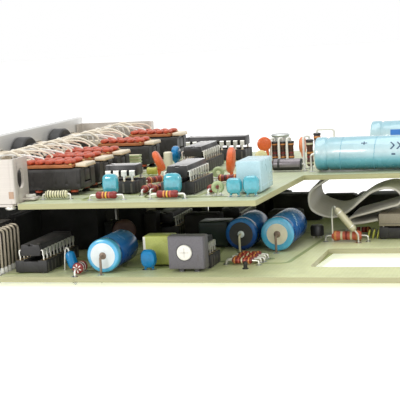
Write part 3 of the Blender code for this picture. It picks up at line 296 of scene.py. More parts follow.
OUTSIDE, INSIDE = (176, 177, 178), (240, 240, 238)
graded("panel_brushed", ((0, OUTSIDE), (0.42, OUTSIDE), (0.58, INSIDE), (1, INSIDE)), "X",
       -PANEL_HALF * MM, PANEL_HALF * MM, 0.42, 0.1, (900, 30, 9000), 0.25, 0)
woven("laminate_upper", (206, 213, 184), (224, 230, 208))
woven("laminate_lower", (226, 229, 188), (240, 242, 220))


# Shapes
def moved(shape, matrix):
    shape.transform(matrix)
    return shape


def bevelled(shape, edge, steps=2):
    if edge:
        bmesh.ops.bevel(shape, geom=shape.edges[:], offset=edge, segments=steps, affect="EDGES", profile=0.5)
    return shape


def rise(height):
    return vec(0, 0, height)


def level(turn, reach=1):
    """A level arrow, turned from X."""
    return Matrix.Rotation(radians(turn), 3, "Z") @ vec(reach, 0, 0)


def spin(degrees, axis, at=(0, 0, 0)):
    return Matrix.Translation(at) @ Matrix.Rotation(radians(degrees), 4, axis)


def circle(x, y, radius, sides=14, shift=0):
    angles = [tau * (k + shift) / sides for k in range(sides)]
    return [(x + radius * cos(a), y + radius * sin(a)) for a in angles]


def headed(points):
    """Each point of a route with the direction there."""
    for i, point in enumerate(points):
        yield point, (points[min(i + 1, len(points) - 1)] - points[max(i - 1, 0)]).normalized()


def loft(rings):
    """A skin over rings of equal count, closed at both ends."""
    shape = bmesh.new()
    loops = [[shape.verts.new(p) for p in ring] for ring in rings]
    for first, second in zip(loops, loops[1:]):
        for i, here in enumerate(first):
            j = (i + 1) % len(first)
            shape.faces.new((here, first[j], second[j], second[i]))
    shape.faces.new(loops[0][::-1])
    shape.faces.new(loops[-1])
    bmesh.ops.recalc_face_normals(shape, faces=shape.faces)
    return shape


def box(corner, other, edge=0, steps=0):
    """A block between two opposite corners. A fine edge takes one step."""
    low, high = (Vector([*map(end, corner, other)]) for end in (min, max))
    shape = bmesh.new()
    bmesh.ops.create_cube(shape, size=1)
    bmesh.ops.scale(shape, vec=high - low, verts=shape.verts)
    bmesh.ops.translate(shape, vec=(low + high) / 2, verts=shape.verts)
    return bevelled(shape, edge, steps or (2 if edge > 0.13 else 1))


def about(middle, size, edge=0):
    half = Vector(size) / 2
    return box(Vector(middle) - half, Vector(middle) + half, edge)


def bar(y, half, x0, x1, low, high, edge=0, steps=0):
    """A block that reaches as far on either side of a row along X."""
    return box((x0, y - half, low), (x1, y + half, high), edge, steps)


def prism(outline, low, high, edge=0, flat=False):
    """An outline across X, or a flat one across Z, drawn out between two places."""
    rings = [[Vector((a, b, c) if flat else (c, a, b)) for a, b in outline] for c in (low, high)]
    return bevelled(loft(rings), edge)


def laid(rings, at, aim):
    """A skin over rings along Z, turned and set at a point."""
    turn = Z.rotation_difference(Vector(aim).normalized()).to_matrix().to_4x4()
    return moved(loft(rings), Matrix.Translation(Vector(at)) @ turn)


def lathe(profile, at, aim=Z, sides=28):
    """Turns a profile of radius and distance, given as pairs or as text, round a line."""
    if isinstance(profile, str):
        profile = [map(float, pair.split()) for pair in profile.split(",")]
    return laid([[vec(x, y, h) for x, y in circle(0, 0, max(r, 0.01), sides)] for r, h in profile], at, aim)


def wrap(at, aim, radius, angles, span, thick):
    """A patch on a cylinder, between two angles and two distances."""
    (start, stop), (near, far), outer = angles, span, radius + thick
    steps = max(int(abs(stop - start) / 8), 2)
    rings = []
    for step in range(steps + 1):
        angle = radians(start + (stop - start) * step / steps)
        spots = (radius, near), (radius, far), (outer, far), (outer, near)
        rings.append([vec(r * cos(angle), r * sin(angle), h) for r, h in spots])
    return laid(rings, at, aim)


def rounded(points, reach=0.9, steps=3):
    """A route whose corners are rounded off."""
    points = [Vector(p) for p in points]
    route = [points[0]]
    for before, here, after in zip(points, points[1:], points[2:]):
        into, out = here - before, after - here
        cut = min(reach, into.length / 2, out.length / 2)
        first, last = here - into.normalized() * cut, here + out.normalized() * cut
        for step in range(steps + 1):
            t = step / steps
            route.append(first * (1 - t) ** 2 + here * 2 * t * (1 - t) + last * t * t)
    return [*route, points[-1]]


def curve(points, steps=6):
    """A smooth route through points."""
    points = [Vector(p) for p in points]
    padded = [2 * points[0] - points[1], *points, 2 * points[-1] - points[-2]]
    route = []
    for a, b, c, d in zip(padded, padded[1:], padded[2:], padded[3:]):
        for step in range(steps):
            t = step / steps
            route.append(0.5 * ((2 * b) + (c - a) * t + (2 * a - 5 * b + 4 * c - d) * t * t
                                + (3 * b - a - 3 * c + d) * t ** 3))
    return [*route, points[-1]]


def tube(points, radius=LEAD, sides=8, flat=1):
    """A wire along a route, with one radius or one per point."""
    points = [Vector(p) for p in points]
    radii = radius if isinstance(radius, list) else [radius] * len(points)
    rings = []
    side = None
    for (point, along), reach in zip(headed(points), radii):
        if side is None:
            side = along.orthogonal().normalized()
        side = (side - along * side.dot(along)).normalized()
        other = along.cross(side)
        rings.append([point + reach * (c * side + flat * s * other) for c, s in circle(0, 0, 1, sides)])
    return loft(rings)


def stub(foot, height=0.5):
    return tube([foot, foot + rise(height)])


def plate(loops, low, high):
    """A slab with an outline and holes."""
    shape = bmesh.new()
    flat = [[vec(x, y, 0) for x, y in loop] for loop in loops]
    under, top = ([shape.verts.new((p.x, p.y, z)) for loop in flat for p in loop] for z in (low, high))
    for corners in tessellate_polygon(flat):
        shape.faces.new([under[i] for i in corners])
        shape.faces.new([top[i] for i in corners])
    first = 0
    for loop in loops:
        ring = range(first, first + len(loop))
        for i, j in zip(ring, [*ring[1:], first]):
            shape.faces.new((under[i], under[j], top[j], top[i]))
        first += len(loop)
    bmesh.ops.recalc_face_normals(shape, faces=shape.faces)
    return shape


def trace(points, width, height, thick=0.05):
    """A flat track on a board."""
    rings = []
    for point, along in headed([vec(p.x, p.y, height) for p in points]):
        side = vec(-along.y, along.x, 0) * width / 2
        rings.append([point - side, point + side, point + side + rise(thick), point - side + rise(thick)])
    return loft(rings)


PUFF = ((0.52, -0.5), (0.82, -0.44), (0.96, -0.28), (1, 0), (0.96, 0.28), (0.82, 0.44), (0.52, 0.5))


def pillow(middle, width, height, thick, turn, lean, power):
    """A coated disc or cushion on edge, facing Y before its turn."""
    rings = [[vec(share * width / 2 * copysign(abs(c) ** (2 / power), c), at * thick,
                      share * height / 2 * copysign(abs(s) ** (2 / power), s))
              for c, s in circle(0, 0, 1, 28)] for share, at in PUFF]
    return moved(loft(rings), spin(turn, "Z", middle) @ spin(lean, "X"))


# Pieces
def show(thing):
    bpy.context.scene.collection.objects.link(thing)
    return thing


class Kit(list):
    """Shapes of one piece with their finishes. A second finish is for upright faces."""

    def __init__(self, looks="", *shapes):
        self.add(looks, *shapes)

    def add(self, looks, *shapes):
        self += [(shape, looks if isinstance(looks, tuple) else (looks,)) for shape in shapes]
        return self

    def piece(self, name, node=None, body="chassis", sharp=34):
        """Joins the shapes as one named piece on its body."""
        whole = bmesh.new()
        finishes = list(dict.fromkeys(look for _, looks in self for look in looks))
        for shape, looks in self:
            shape.normal_update()
            for face in shape.faces:
                face.material_index = finishes.index(looks[-1] if abs(face.normal.z) < 0.5 else looks[0])
            part = bpy.data.meshes.new("part")
            shape.to_mesh(part)
            shape.free()
            whole.from_mesh(part)
            bpy.data.meshes.remove(part)
        bmesh.ops.scale(whole, vec=(MM, MM, MM), verts=whole.verts)
        mesh = bpy.data.meshes.new(name)
        whole.to_mesh(mesh)
        whole.free()
        for look in finishes:
            mesh.materials.append(M[look])
        mesh.shade_smooth()
        mesh.set_sharp_from_angle(angle=radians(sharp))
        made = show(bpy.data.objects.new(name, mesh))
        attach(made, body)
        if node:
            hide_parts(node)


def upper(along, across, up=0):
    """A place on the upper board, counted from its near front corner."""
    return vec(UPPER_START + along, NEAR_EDGE + across, UPPER_TOP + up)


def lower(along, across, up=0):
    return vec(LOWER_START + along, NEAR_EDGE + across, LOWER_TOP + up)


FEET = {upper: [], lower: []}


def plant(place, spot):
    """Notes where a lead meets a board."""
    FEET[place].append((spot[0], spot[1]))


def planted(place, foot, height=0.5):
    """A short pin that stands on a board."""
    plant(place, foot)
    return stub(foot, height)


def leg(place, end, knee, radius=LEAD, reach=0.9, steps=3, sides=8):
    """A lead that turns at its knee and goes down to a board."""
    foot = vec(knee.x, knee.y, place(0, 0).z)
    plant(place, foot)
    return tube(rounded([end, knee, foot], reach, steps), radius, sides)


# Boards
def copper(place, under, keep_out):
    """Pads and solder at every lead, and tracks that join some of them."""
    which, spots, top = place.__name__, FEET[place], place(0, 0).z + 0.01
    pad = "1 0, 1 0.05, 0.5 0.22, 0.34 0.3"
    drop = "1 0, 0.8 0.16, 0.45 0.5, 0.2 0.85"
    Kit("solder", *(lathe(pad, (*spot, top), Z, 12) for spot in spots)).piece(f"{which}_pads")
    Kit("solder", *(lathe(drop, (*spot, under + 0.02), -Z, 10) for spot in spots)).piece(f"{which}_solder")
    for side, height, count in (("top", top, 26), ("underside", under - 0.06, 46)):
        tracks = Kit()
        for _ in range(count):
            (x0, y0), (x1, y1) = chance.sample(spots, 2)
            middle = x0 + (x1 - x0) * chance.choice((0.25, 0.5, 0.75))
            slope = min(abs(y1 - y0), 4) / 2 * (1 if x1 > x0 else -1)
            route = [(x0, y0), (middle - slope, y0), (middle + slope, y1), (x1, y1)]
            if not any(keep_out(x, y) for x, y in route):
                width = chance.choice((0.6, 0.8, 1.3))
                tracks.add("copper_trace", trace(rounded(route, 3, 5), width, height))
        tracks.piece(f"{which}_{side}_tracks")


SPACERS = (("front_near", (6.4, 70.3)), ("front_far", (6.4, 102.1)), ("rear_near", (143, 62)),
           ("rear_far", (143, 120)))


def boards():
    posts = [upper(*spot).xy for _, spot in SPACERS]
    holes = [circle(x, y, 1.8) for x, y in posts]
    outline = [(UPPER_START, NEAR_EDGE), (NOTCH_START - 2, NEAR_EDGE), (NOTCH_START, NOTCH_FAR),
               (UPPER_END, NOTCH_FAR), (UPPER_END, FAR_EDGE), (UPPER_START, FAR_EDGE)]
    slab = plate([outline, *holes], UPPER_UNDER, UPPER_TOP)
    Kit(("laminate_upper", "laminate_edge"), slab).piece("upper_board_slab", "upper_board")
    outline = [(LOWER_START, NEAR_EDGE), (LOWER_END, NEAR_EDGE), (LOWER_END, TONGUE_NEAR),
               (TONGUE_END, TONGUE_NEAR), (TONGUE_END, TONGUE_FAR), (LOWER_END, TONGUE_FAR),
               (LOWER_END, FAR_EDGE), (LOWER_START, FAR_EDGE)]
    window = rounded([(140, WINDOW_NEAR), (WINDOW_START, WINDOW_NEAR), (WINDOW_START, WINDOW_FAR),
                      (WINDOW_END, WINDOW_FAR), (WINDOW_END, WINDOW_NEAR), (142, WINDOW_NEAR)], 2, 5)
    slab = plate([outline, window, *holes], LOWER_UNDER, LOWER_TOP)
    Kit(("laminate_lower", "laminate_edge_lower"), slab).piece("lower_board_slab", "lower_board")
    contacts = [box((LOWER_END + 0.95, y, z), (TONGUE_END - 0.25, y + 2.4, z + 0.06))
                for y in [TONGUE_NEAR + 2.5 + index * 4 for index in range(19)]
                for z in (LOWER_TOP + 0.01, LOWER_UNDER - 0.07)]
    Kit("brass", *contacts).piece("edge_contacts")
    for (name, _), (x, y) in zip(SPACERS, posts):
        post = Kit("steel", lathe("2.7 3.2, 3.2 3.55, 3.2 22.75, 2.7 23.1", (x, y, 0), Z, 6),
                   lathe("1.5 1, 1.5 25.3", (x, y, 0), Z, 16))
        for z, aim in ((0.04, Z), (26.26, -Z)):
            post.add("steel", lathe("2.2 0, 2.7 0.15, 2.8 0.5, 2.8 1.16", (x, y, z), aim))
            post.add("slot_shade", about((x, y, z + 0.02 * aim.z), (4.4, 0.7, 0.08)))
        post.piece(f"spacer_{name}_post", f"spacer_{name}", sharp=28)


# Small parts
BULGE = ((0.3, -0.5), (0.72, -0.485), (0.95, -0.43), (1, -0.36), (0.97, -0.29), (0.86, -0.23), (0.86, 0.23),
         (0.97, 0.29), (1, 0.36), (0.95, 0.43), (0.72, 0.485), (0.3, 0.5))
BAND_SPOTS = {1: (0,), 3: (-0.15, 0, 0.15), 4: (-0.36, -0.13, 0.02, 0.36), 5: (-0.36, -0.16, 0, 0.16, 0.36),
              8: (-0.4, -0.3, -0.18, -0.06, 0.06, 0.18, 0.3, 0.4)}
COATS = {"r": "lacquer_red", "b": "lacquer_brown", "c": "lacquer_cream", "o": "lacquer_orange",
         "g": "band_gold", "d": "band_dark", "w": "band_white", "y": "band_yellow", "p": "bead_yellow",
         "v": "ring_olive"}


def resistor_body(middle, aim, length, radius, body, bands):
    """A lacquered body and its bands, by the letters of their coats."""
    made = Kit(COATS[body], lathe([(radius * r, length * h) for r, h in BULGE], middle, aim, 20))
    for spot, band in zip(BAND_SPOTS[len(bands)], bands):
        size = radius * (1.02 if abs(spot) > 0.27 else 0.9)
        half = length * (0.02 if len(bands) > 5 else 0.035)
        ring = [(size * r, spot * length + half * h) for r, h in ((0.97, -1), (1, -0.6), (1, 0.6), (0.97, 1))]
        made.add(COATS[band], lathe(ring, middle, aim, 20))
    return made


def resistor(name, place, along, across, turn, body, bands, length=6.4, radius=1.15, reach=2):
    middle, aim = place(along, across, GAP + radius), level(turn)
    made = resistor_body(middle, aim, length, radius, body, bands)
    for sign in (-1, 1):
        end = middle + aim * sign * (length / 2 - 0.2)
        made.add("tinned", leg(place, end, middle + aim * sign * (length / 2 + reach)))
    made.piece(name)


def standing_resistor(number, along, across, length, loop, turn, bands):
    """A resistor on end, with its upper lead back down in a sleeve."""
    radius, side, bend = 1.2, level(turn, loop), rise(min(loop / 2 + 0.5, 1.5))
    base = upper(along, across, 0.6)
    top = base + rise(length - 0.2)
    made = resistor_body(base + rise(length / 2), Z, length, radius, "b", bands)
    route = rounded([top, top + bend, top + side + bend, base + side - rise(0.6)], 1.2, 5)
    cap = [(radius * r, h) for r, h in ((0.8, -0.5), (1.1, -0.3), (1.12, 0.1), (0.9, 0.35))]
    made.add("wire_white", tube(route, 0.4, 10)).add("tinned", tube([base + rise(0.2), base - rise(0.6)]))
    made.add("moulding", lathe(cap, top, Z, 20)).piece(f"upper_standing_resistor_{number}")
    plant(upper, base)
    plant(upper, base + side)


def disc(name, place, along, across, radius, thick, lift, turn, lean, coat, power=2, slim=1):
    """A dipped part on edge, with its coat drawn down two leads."""
    middle = place(along, across, lift + radius)
    made = Kit(coat, pillow(middle, radius * 2 * slim, radius * 2, thick, turn, lean, power))
    for side in (level(turn, -1.25), level(turn, 1.25)):
        foot = place(along, across) + side
        high = place(along, across, lift + radius * 0.5) + side * 0.5
        neck = place(along, across, lift + radius * 0.25) + side * 0.72
        made.add(coat, tube([high, neck, foot + rise(max(lift * 0.5, 0.3))], [0.7, 0.6, 0.34]))
        made.add("tinned", tube([neck, foot]))
        plant(place, foot)
    made.piece(name)


def resistors():
    spots = ((25.7, 5.8, 0), (44.4, 5.8, 0), (33.5, 19.7, 90), (36.8, 20.3, 80), (29, 40, 60), (54.5, 18, 90),
             (53, 40, 0), (56, 70, 0), (56, 74, 0))
    for number, spot in enumerate(spots, 1):
        body, bands = "b" if number == 8 else "r", "gdog" if number > 2 else "gyo"
        resistor(f"upper_resistor_{number}", upper, *spot, body, bands)
    resistor("upper_ringed_resistor", upper, 8.6, 9, 0, "c", "v" * 8, 7, 1.25, 0.9)
    resistor("upper_yellow_bead", upper, 20.6, 62, 0, "p", "p", 3.6, 1.3)
    spots = ((77.7, 18.3, -5), (77.5, 20.8, 4), (78, 23.3, -3), (77.6, 25.8, 6), (77.9, 28.3, -2),
             (104, 71, 0))
    for number, spot in enumerate(spots, 1):
        resistor(f"lower_resistor_{number}", lower, *spot, "r", "gocog", 6.2, 1)
    for number, along in ((7, 40), (8, 44)):
        resistor(f"lower_resistor_{number}", lower, along, 50, 90, "b", "gdog")
    resistor("lower_striped_resistor", lower, 31.8, 4.8, 90, "r", "wdw", 4.6, 1.7)
    heart = lower(31.8, 4.8, 2)
    rays = [moved(box((0.55, -2.36, -0.17), (1.3, -2.1, 0.17), 0.05), spin(angle, "Y", heart))
            for angle in range(20, 380, 60)]
    Kit("band_white", *rays).piece("lower_striped_rays")
    resistor("lower_orange_resistor", lower, 101.9, 56.2, 0, "o", "gcrcg", 9.6, 1.6)
    hoops = Kit()
    for number in range(3):
        middle = lower(108.2 + 1.5 * number, 61, 1.5)
        hoop = [middle + vec(0.35 * s, 0.9 * c, 1.35 * s) for c, s in circle(0, 0, 1, 16, 0.5)]
        hoops.add("bead_yellow", tube([*hoop, hoop[0]], 0.24))
    hoops.piece("lower_yellow_hoops")


def discs():
    cyan, orange = "ceramic_cyan", "ceramic_orange"
    for name, *rest in (
        ("cyan_1", 25.6, 9.9, 3, 2.4, 1.2, 0, 0, cyan, 3.4, 0.82),
        ("cyan_2", 44.9, 9.6, 3, 2.4, 1.1, 0, 0, cyan, 3.4, 0.9),
        ("cyan_3", 63.7, 8.3, 2.3, 2.4, 0.8, 0, 0, cyan, 3.4),
        ("cyan_4", 68.7, 8.3, 2.6, 2.4, 0.8, 0, 0, cyan, 3.4, 0.9),
        ("orange_1", 25, 56.5, 3.6, 2.3, 1.8, 104, -24, orange),
        ("orange_2", 50.7, 52.4, 4.2, 2.5, 1.4, 98, 6, orange),
        ("blue", 22, 84.2, 2.9, 2.6, 1.8, 95, 0, "ceramic_blue"),
        ("pale", 52, 86.5, 2.2, 1.8, 0.6, 20, 0, "ceramic_yellow"),
        ("orange_3", 51.8, 92.5, 2.5, 1.8, 4, 20, 0, orange),
        ("pink", 64, 99, 2.9, 2.2, 2.2, 92, 0, "ceramic_pink"),
    ):
        disc(f"upper_disc_{name}", upper, *rest)
    disc("lower_drop_blue", lower, 51.2, 11, 2.8, 2.6, 0.6, 0, 0, "ceramic_blue", 2.6, 0.86)
    disc("lower_disc_brown", lower, 31.6, 44, 3.9, 2.4, 2.2, 30, 0, "ceramic_brown")
    for number, (along, across, lift) in enumerate(((48.6, 44.5, 0.9), (57.9, 11.3, 0.6)), 1):
        middle = upper(along, across, lift + 1.8)
        ring = [middle + vec(1.25 * s, 0.3 * s, -1.25 * c) for c, s in circle(0, 0, 1, 18, 0.5)]
        sleeved = Kit("sleeve_pale_green", tube(ring, 0.62, 12))
        for side in (1, -1):
            foot = upper(along + 0.9 * side, across)
            sleeved.add("tinned", tube([middle + vec(0.5 * side, 0, -1.2), foot], 0.34))
            plant(upper, foot)
        sleeved.piece(f"upper_sleeved_ring_{number}")


def odd_parts():
    for number, along in enumerate((54.5, 57.4, 60.3), 1):
        standing_resistor(number, along, 96, 6.2, 2, 245, "grdg")
    standing_resistor(4, 72.2, 72.5, 8.8, 2.2, 215, "crgc")
    standing_resistor(5, 70.5, 93, 9, 6, 0, "gdog")
    low, high, foot = lower(28.4, 8.6, 0.9), lower(26.6, 9.6, 5.9), lower(28.6, 8.5)
    capsule = "0.5 0, 1.1 0.15, 1.5 0.7, 1.55 1.6, 1.55 3.8, 1.45 4.7, 1 5.2, 0.4 5.4"
    tail = curve([high, high + vec(-0.5, 0.3, 0.8), high + vec(-1.5, 0.8, 0.2), lower(24.4, 10.6)], 5)
    blue = Kit("ceramic_blue", lathe(capsule, low, high - low))
    blue.add("tinned", tube([low + rise(0.2), foot]), tube(tail)).piece("lower_blue_capsule")
    plant(lower, foot)

    can = lathe("3.4 0, 3.5 0.3, 3.5 0.8, 3.1 0.9, 3.1 7.6, 3.3 7.8, 3.4 8.1, 3 8.5, 0.01 8.6",
                upper(54, 108), Z, 36)
    Kit("grey_lid", can).piece("upper_metal_can")
    ribs = [box(upper(9.6, 66, 0.6 + 1.05 * k), upper(14.6, 69.6, 1.3 + 1.05 * k), 0.2) for k in range(6)]
    block = Kit("lacquer_cream", box(upper(9.8, 66.2), upper(14.4, 69.4, 6.6), 0.4))
    block.add("sleeve_pale_green", *ribs).piece("upper_pale_block")
    spot = upper(21.4, 77)
    pale = Kit("can_end_cream", lathe("1.2 0.5, 1.5 0.7, 1.5 6, 1.1 6.3", spot, Z, 24))
    pale.add("tinned", stub(spot, 0.8)).piece("upper_pale_cylinder")
    for number, spot in enumerate(((33, 20), (34.6, 22.4), (36.2, 24.8), (32.6, 26)), 1):
        low = lower(*spot, 0.4)
        strip = tube([low, low + vec(1.6, 0.6, 2.2), low + vec(3.6, 1.2, 4)], [0.7, 0.8, 0.6], 8, 0.3)
        green = Kit("bead_yellow", strip).add("tinned", planted(lower, low, -0.4))
        green.piece(f"lower_green_lead_{number}")
    can = lathe("2 0.9, 2.15 1.1, 2.15 3.7, 1.8 4.3, 0.01 4.5", lower(91, 63))
    pins = [tube([lower(91 + dx, 63 + dy), lower(91 + dx, 63 + dy, 1.2)], 0.25)
            for dx, dy in ((-1.2, 0), (0, 1.2), (1.2, 0))]
    Kit("moulding", can).add("tinned", *pins).piece("lower_transistor")
    pin = lathe("0.9 0, 0.9 0.3, 0.6 0.35, 0.6 1.9, 0.35 2.2", lower(80.2, 12.2), Z, 16)
    Kit("moulding", pin).piece("lower_test_pin")

    top, low = lower(99.2, 53.8, 11), lower(105, 53.8, 3.9)
    length, aim = (low - top).length, (low - top).normalized()
    shell = [(0.3, -0.2), (0.7, 0.1), (1, 0.5), (1.15, 1.4), (1.15, length - 1.2), (1, length - 0.4),
             (0.6, length)]
    slanted = Kit("silver_cream", lathe(shell, top, low - top, 24))
    for h in (1.5, length - 1.9):
        band = [(1, h), (1.18, h + 0.1), (1.18, h + 0.4), (1, h + 0.5)]
        slanted.add("tinned", lathe(band, top, low - top, 24))
    slanted.add("tinned", leg(lower, low, low + aim * 1.6, reach=0.6))
    head = top - aim * 0.1
    bow = [head, head + vec(-0.6, 0.6, 0.4), head + vec(-1.4, 1.4, -1.5),
           vec(head.x - 1.6, head.y + 1.6, LOWER_TOP)]
    slanted.add("tinned", tube(curve(bow))).piece("lower_slanted_cylinder")


# Chips and cans
SHOULDER = 6.9
PIN = ((3, SHOULDER + 0.15), (3.75, SHOULDER + 0.15), (3.96, SHOULDER - 0.08), (3.96, 5.3), (3.66, 5.3),
       (3.66, SHOULDER - 0.15), (3, SHOULDER - 0.15))
NOTCHED_END = ((-2.9, 5.25), (2.9, 5.25), (3.2, SHOULDER - 0.15), (3.2, SHOULDER + 0.15), (2.9, 8.55),
               (0.75, 8.55), (0.55, 8.1), (-0.55, 8.1), (-0.75, 8.55), (-2.9, 8.55), (-3.2, SHOULDER + 0.15),
               (-3.2, SHOULDER - 0.15))


def dual_in_line(place, name, at, pins, turn, wide):
    """A chip over its socket, both on one row of pins each side."""
    name = f"{place.__name__}_{name}"
    half = pins // 2 * PIN_PITCH / 2
    set_down = spin(turn, "Z", place(*at))
    rows = [(-half + (index + 0.5) * PIN_PITCH, side) for index in range(pins // 2) for side in (-1, 1)]

    def block(corner, other, edge=0):
        return moved(box(corner, other, edge), set_down)

    sides = [block((-half, side * 2.2, 0.3), (half, side * 5.1, 3.9), 0.2) for side in (-1, 1)]
    ends = [block((x, -2.4, 0.3), (x + 1.6, 2.4, 3.6), 0.2) for x in (-half, half - 1.6)]
    socket = Kit("socket", *sides, *ends)
    for x, side in rows:
        y, rim = side * PIN_ROW, side * 5.06
        socket.add("brass", block((x - 0.55, y - 0.9, 3.86), (x + 0.55, y + 0.9, 3.94)))
        socket.add("slot_shade", block((x - 0.3, rim - 0.08, 0.5), (x + 0.3, rim + 0.08, 3.3)))
        socket.add("tinned", planted(place, set_down @ vec(x, y, 0)))
    socket.piece(f"{name}_socket_body", f"{name}_socket")
    end = half - 0.25
    # The upper chips' tops take the lighter epoxy: a painted highlight where the tops catch light.
    looks = ("epoxy" if place is upper else "epoxy_dim", "epoxy_dim")
    plain_end = [p for p in NOTCHED_END if abs(p[0]) > 0.8]
    chip = Kit(looks, moved(prism(plain_end, -end + 1.3, end, 0.12), set_down),
               moved(prism(NOTCHED_END, -end, -end + 1.35, 0.04), set_down))
    chip.add("slot_shade", lathe("0.55 0, 0.5 0.04", set_down @ vec(-end + 2.2, -1.7, 8.54), Z, 16))
    for x, side in rows:
        pin = prism([(side * y, z) for y, z in PIN], x - wide / 2, x + wide / 2)
        tip = block((x - 0.3, side * 3.66, 3.9), (x + 0.3, side * 3.96, 5.35))
        chip.add("tinned", moved(pin, set_down), tip)
    chip.piece(f"{name}_chip_body", f"{name}_chip")


def axial_can(name, place, at, r, length, aim, body, rim, rim_look, end, rivet, lead, marks, inset=1.2):
    """A sleeved can on its side, with its leads and printed signs."""
    start = place(*at, GAP + r)
    shell = [(r - 1.9, 0.06), (r - 1.2, 0), (r - 0.5, 0.02), (r - 0.12, 0.25), (r, 0.7), (r, 3.1),
             (r - 0.18, 3.4), (r - 0.42, 3.8), (r - 0.18, 4.2), (r, 4.5), (r, length - 0.7),
             (r - 0.15, length - 0.2), (r - 0.6, length)]
    ring = [(r - 1.2, -0.01), (r - 0.45, 0), (r - 0.1, 0.22), (r + 0.02, 0.7), (r + 0.02, rim)]
    face = [(r - inset, 0), (r - inset - 0.1, 0.05), (r - inset - 0.4, 0.28), (1.6, 0.34), (1.2, 0.3)]
    back = start + aim * length
    made = Kit(body, lathe(shell, start, aim, 48)).add(rim_look, lathe(ring, start, aim, 48))
    made.add(end, lathe(face, start - aim * 0.02, aim, 40))
    made.add(rivet, lathe("1.15 0.5, 1.1 0, 0.9 -0.3, 0.5 -0.36", start, aim, 24))
    made.add(end, lathe([(r - 0.7, -0.1), (r - 1.2, 0), (0.8, 0.05)], back, aim, 40))
    for spot, sign in ((start - aim * 0.3, -1), (back, 1)):
        made.add(lead, leg(place, spot - aim * sign * 0.3, spot + aim * sign * 1.8, 0.38, 1.4, 5, 10))
    for angles, span, mark in marks:
        made.add(mark, wrap(start, aim, r + 0.005, angles, span, 0.04))
    made.piece(f"{name}_body", name, sharp=50)


def chevrons(first, last, start, stop, mark, count):
    """Direction signs along a can, made of small steps."""
    strokes = []
    for number in range(count):
        for step in range(10):
            angles = [first + (last - first) * (step + end) / 10 for end in (0, 1)]
            at = start + number * (stop - start) / count + (step if step < 5 else 9 - step) * 0.22
            strokes.append((angles, (at, at + 0.5), mark))
    return strokes


def cans():
    light, dark, brown = "can_mark_light", "can_mark_dark", "lead_brown"
    marks = [((a, a + 16), (at + (340 - a) * 0.008, at + 0.14 + (340 - a) * 0.008), "can_cyan_deep")
             for at in (7.6, 18.4) for a in range(190, 340, 15)]
    marks += [((223, 236), (15.8, 16.1), dark), ((228, 231), (15, 16.9), dark),
              *chevrons(228, 254, 24.2, 28.2, dark, 2), ((268, 273), (24.6, 25.8), dark)]
    axial_can("upper_big_capacitor", upper, (76.6, 63), 5.35, 34.5, X,
              "can_big", 2, "can_big", "can_end_dark", "rivet", "tinned", marks)
    marks = [((236, 262), (7, 13), "can_mark_blue")]
    axial_can("upper_rear_capacitor", upper, (88.4, 101), 6.1, 30, X,
              "can_rear", 2.2, "can_rear", "can_end", "rivet", "tinned", marks)
    axial_can("lower_capacitor_1", lower, (39.1, 5), 5, 17.8, Y,
              "can_blue", 2.2, "can_rim", "can_end", brown, brown, chevrons(120, 150, 6, 15, light, 4))
    axial_can("lower_capacitor_2", lower, (71.6, 40.4), 5, 18.2, Y,
              "can_blue", 0.5, "can_blue", "can_end_dark", "can_end", "silver_cream",
              chevrons(60, 90, 6, 15, light, 4))
    axial_can("lower_capacitor_3", lower, (83.6, 38.6), 5.2, 20.4, Y,
              "can_blue", 0.6, "can_rim", "can_end_cream", brown, brown,
              [((298 + 9 * k, 307 + 9 * k), (10.6 - 1.1 * k, 11.2 - 1.1 * k), light) for k in range(5)], 1.9)


# Front panel and its controls
SHEET = 0.8


def bent_sheet(points, bend=1.3):
    """The outline of a folded sheet, from its middle line."""
    left, right = [], []
    for point, along in headed(rounded(points, bend, 5)):
        side = Vector((-along.y, along.x)) * SHEET / 2
        left.append(point + side)
        right.append(point - side)
    return left + right[::-1]


def slotted_flange():
    """An upright wall across X with a rounded slot through it."""
    middle, reach, low, high = -60.8, 2.1, 31, 32.9
    slot = [(middle + side * reach * cos(a), end + side * reach * sin(a))
            for side, end in ((1, high), (-1, low)) for a in [pi * k / 8 for k in range(9)]]
    shape = plate([[(-63.2, 24), (-55.7, 24), (-55.7, 38), (-63.2, 38)], slot], 0, SHEET)
    return moved(shape, Matrix(((0, 0, 1, 31.45), (1, 0, 0, 0), (0, 1, 0, 0), (0, 0, 0, 1))))


def hex_nut(kit, at, aim, radius, thick, bore):
    nut = [(radius * 0.9, 0), (radius, thick * 0.12), (radius, thick * 0.88), (radius * 0.9, thick)]
    kit.add("tinned", lathe(nut, at, aim, 6))
    return kit.add("steel", lathe([(bore * 1.5, -0.02), (bore * 1.5, thick + 0.04)], at, aim, 24))


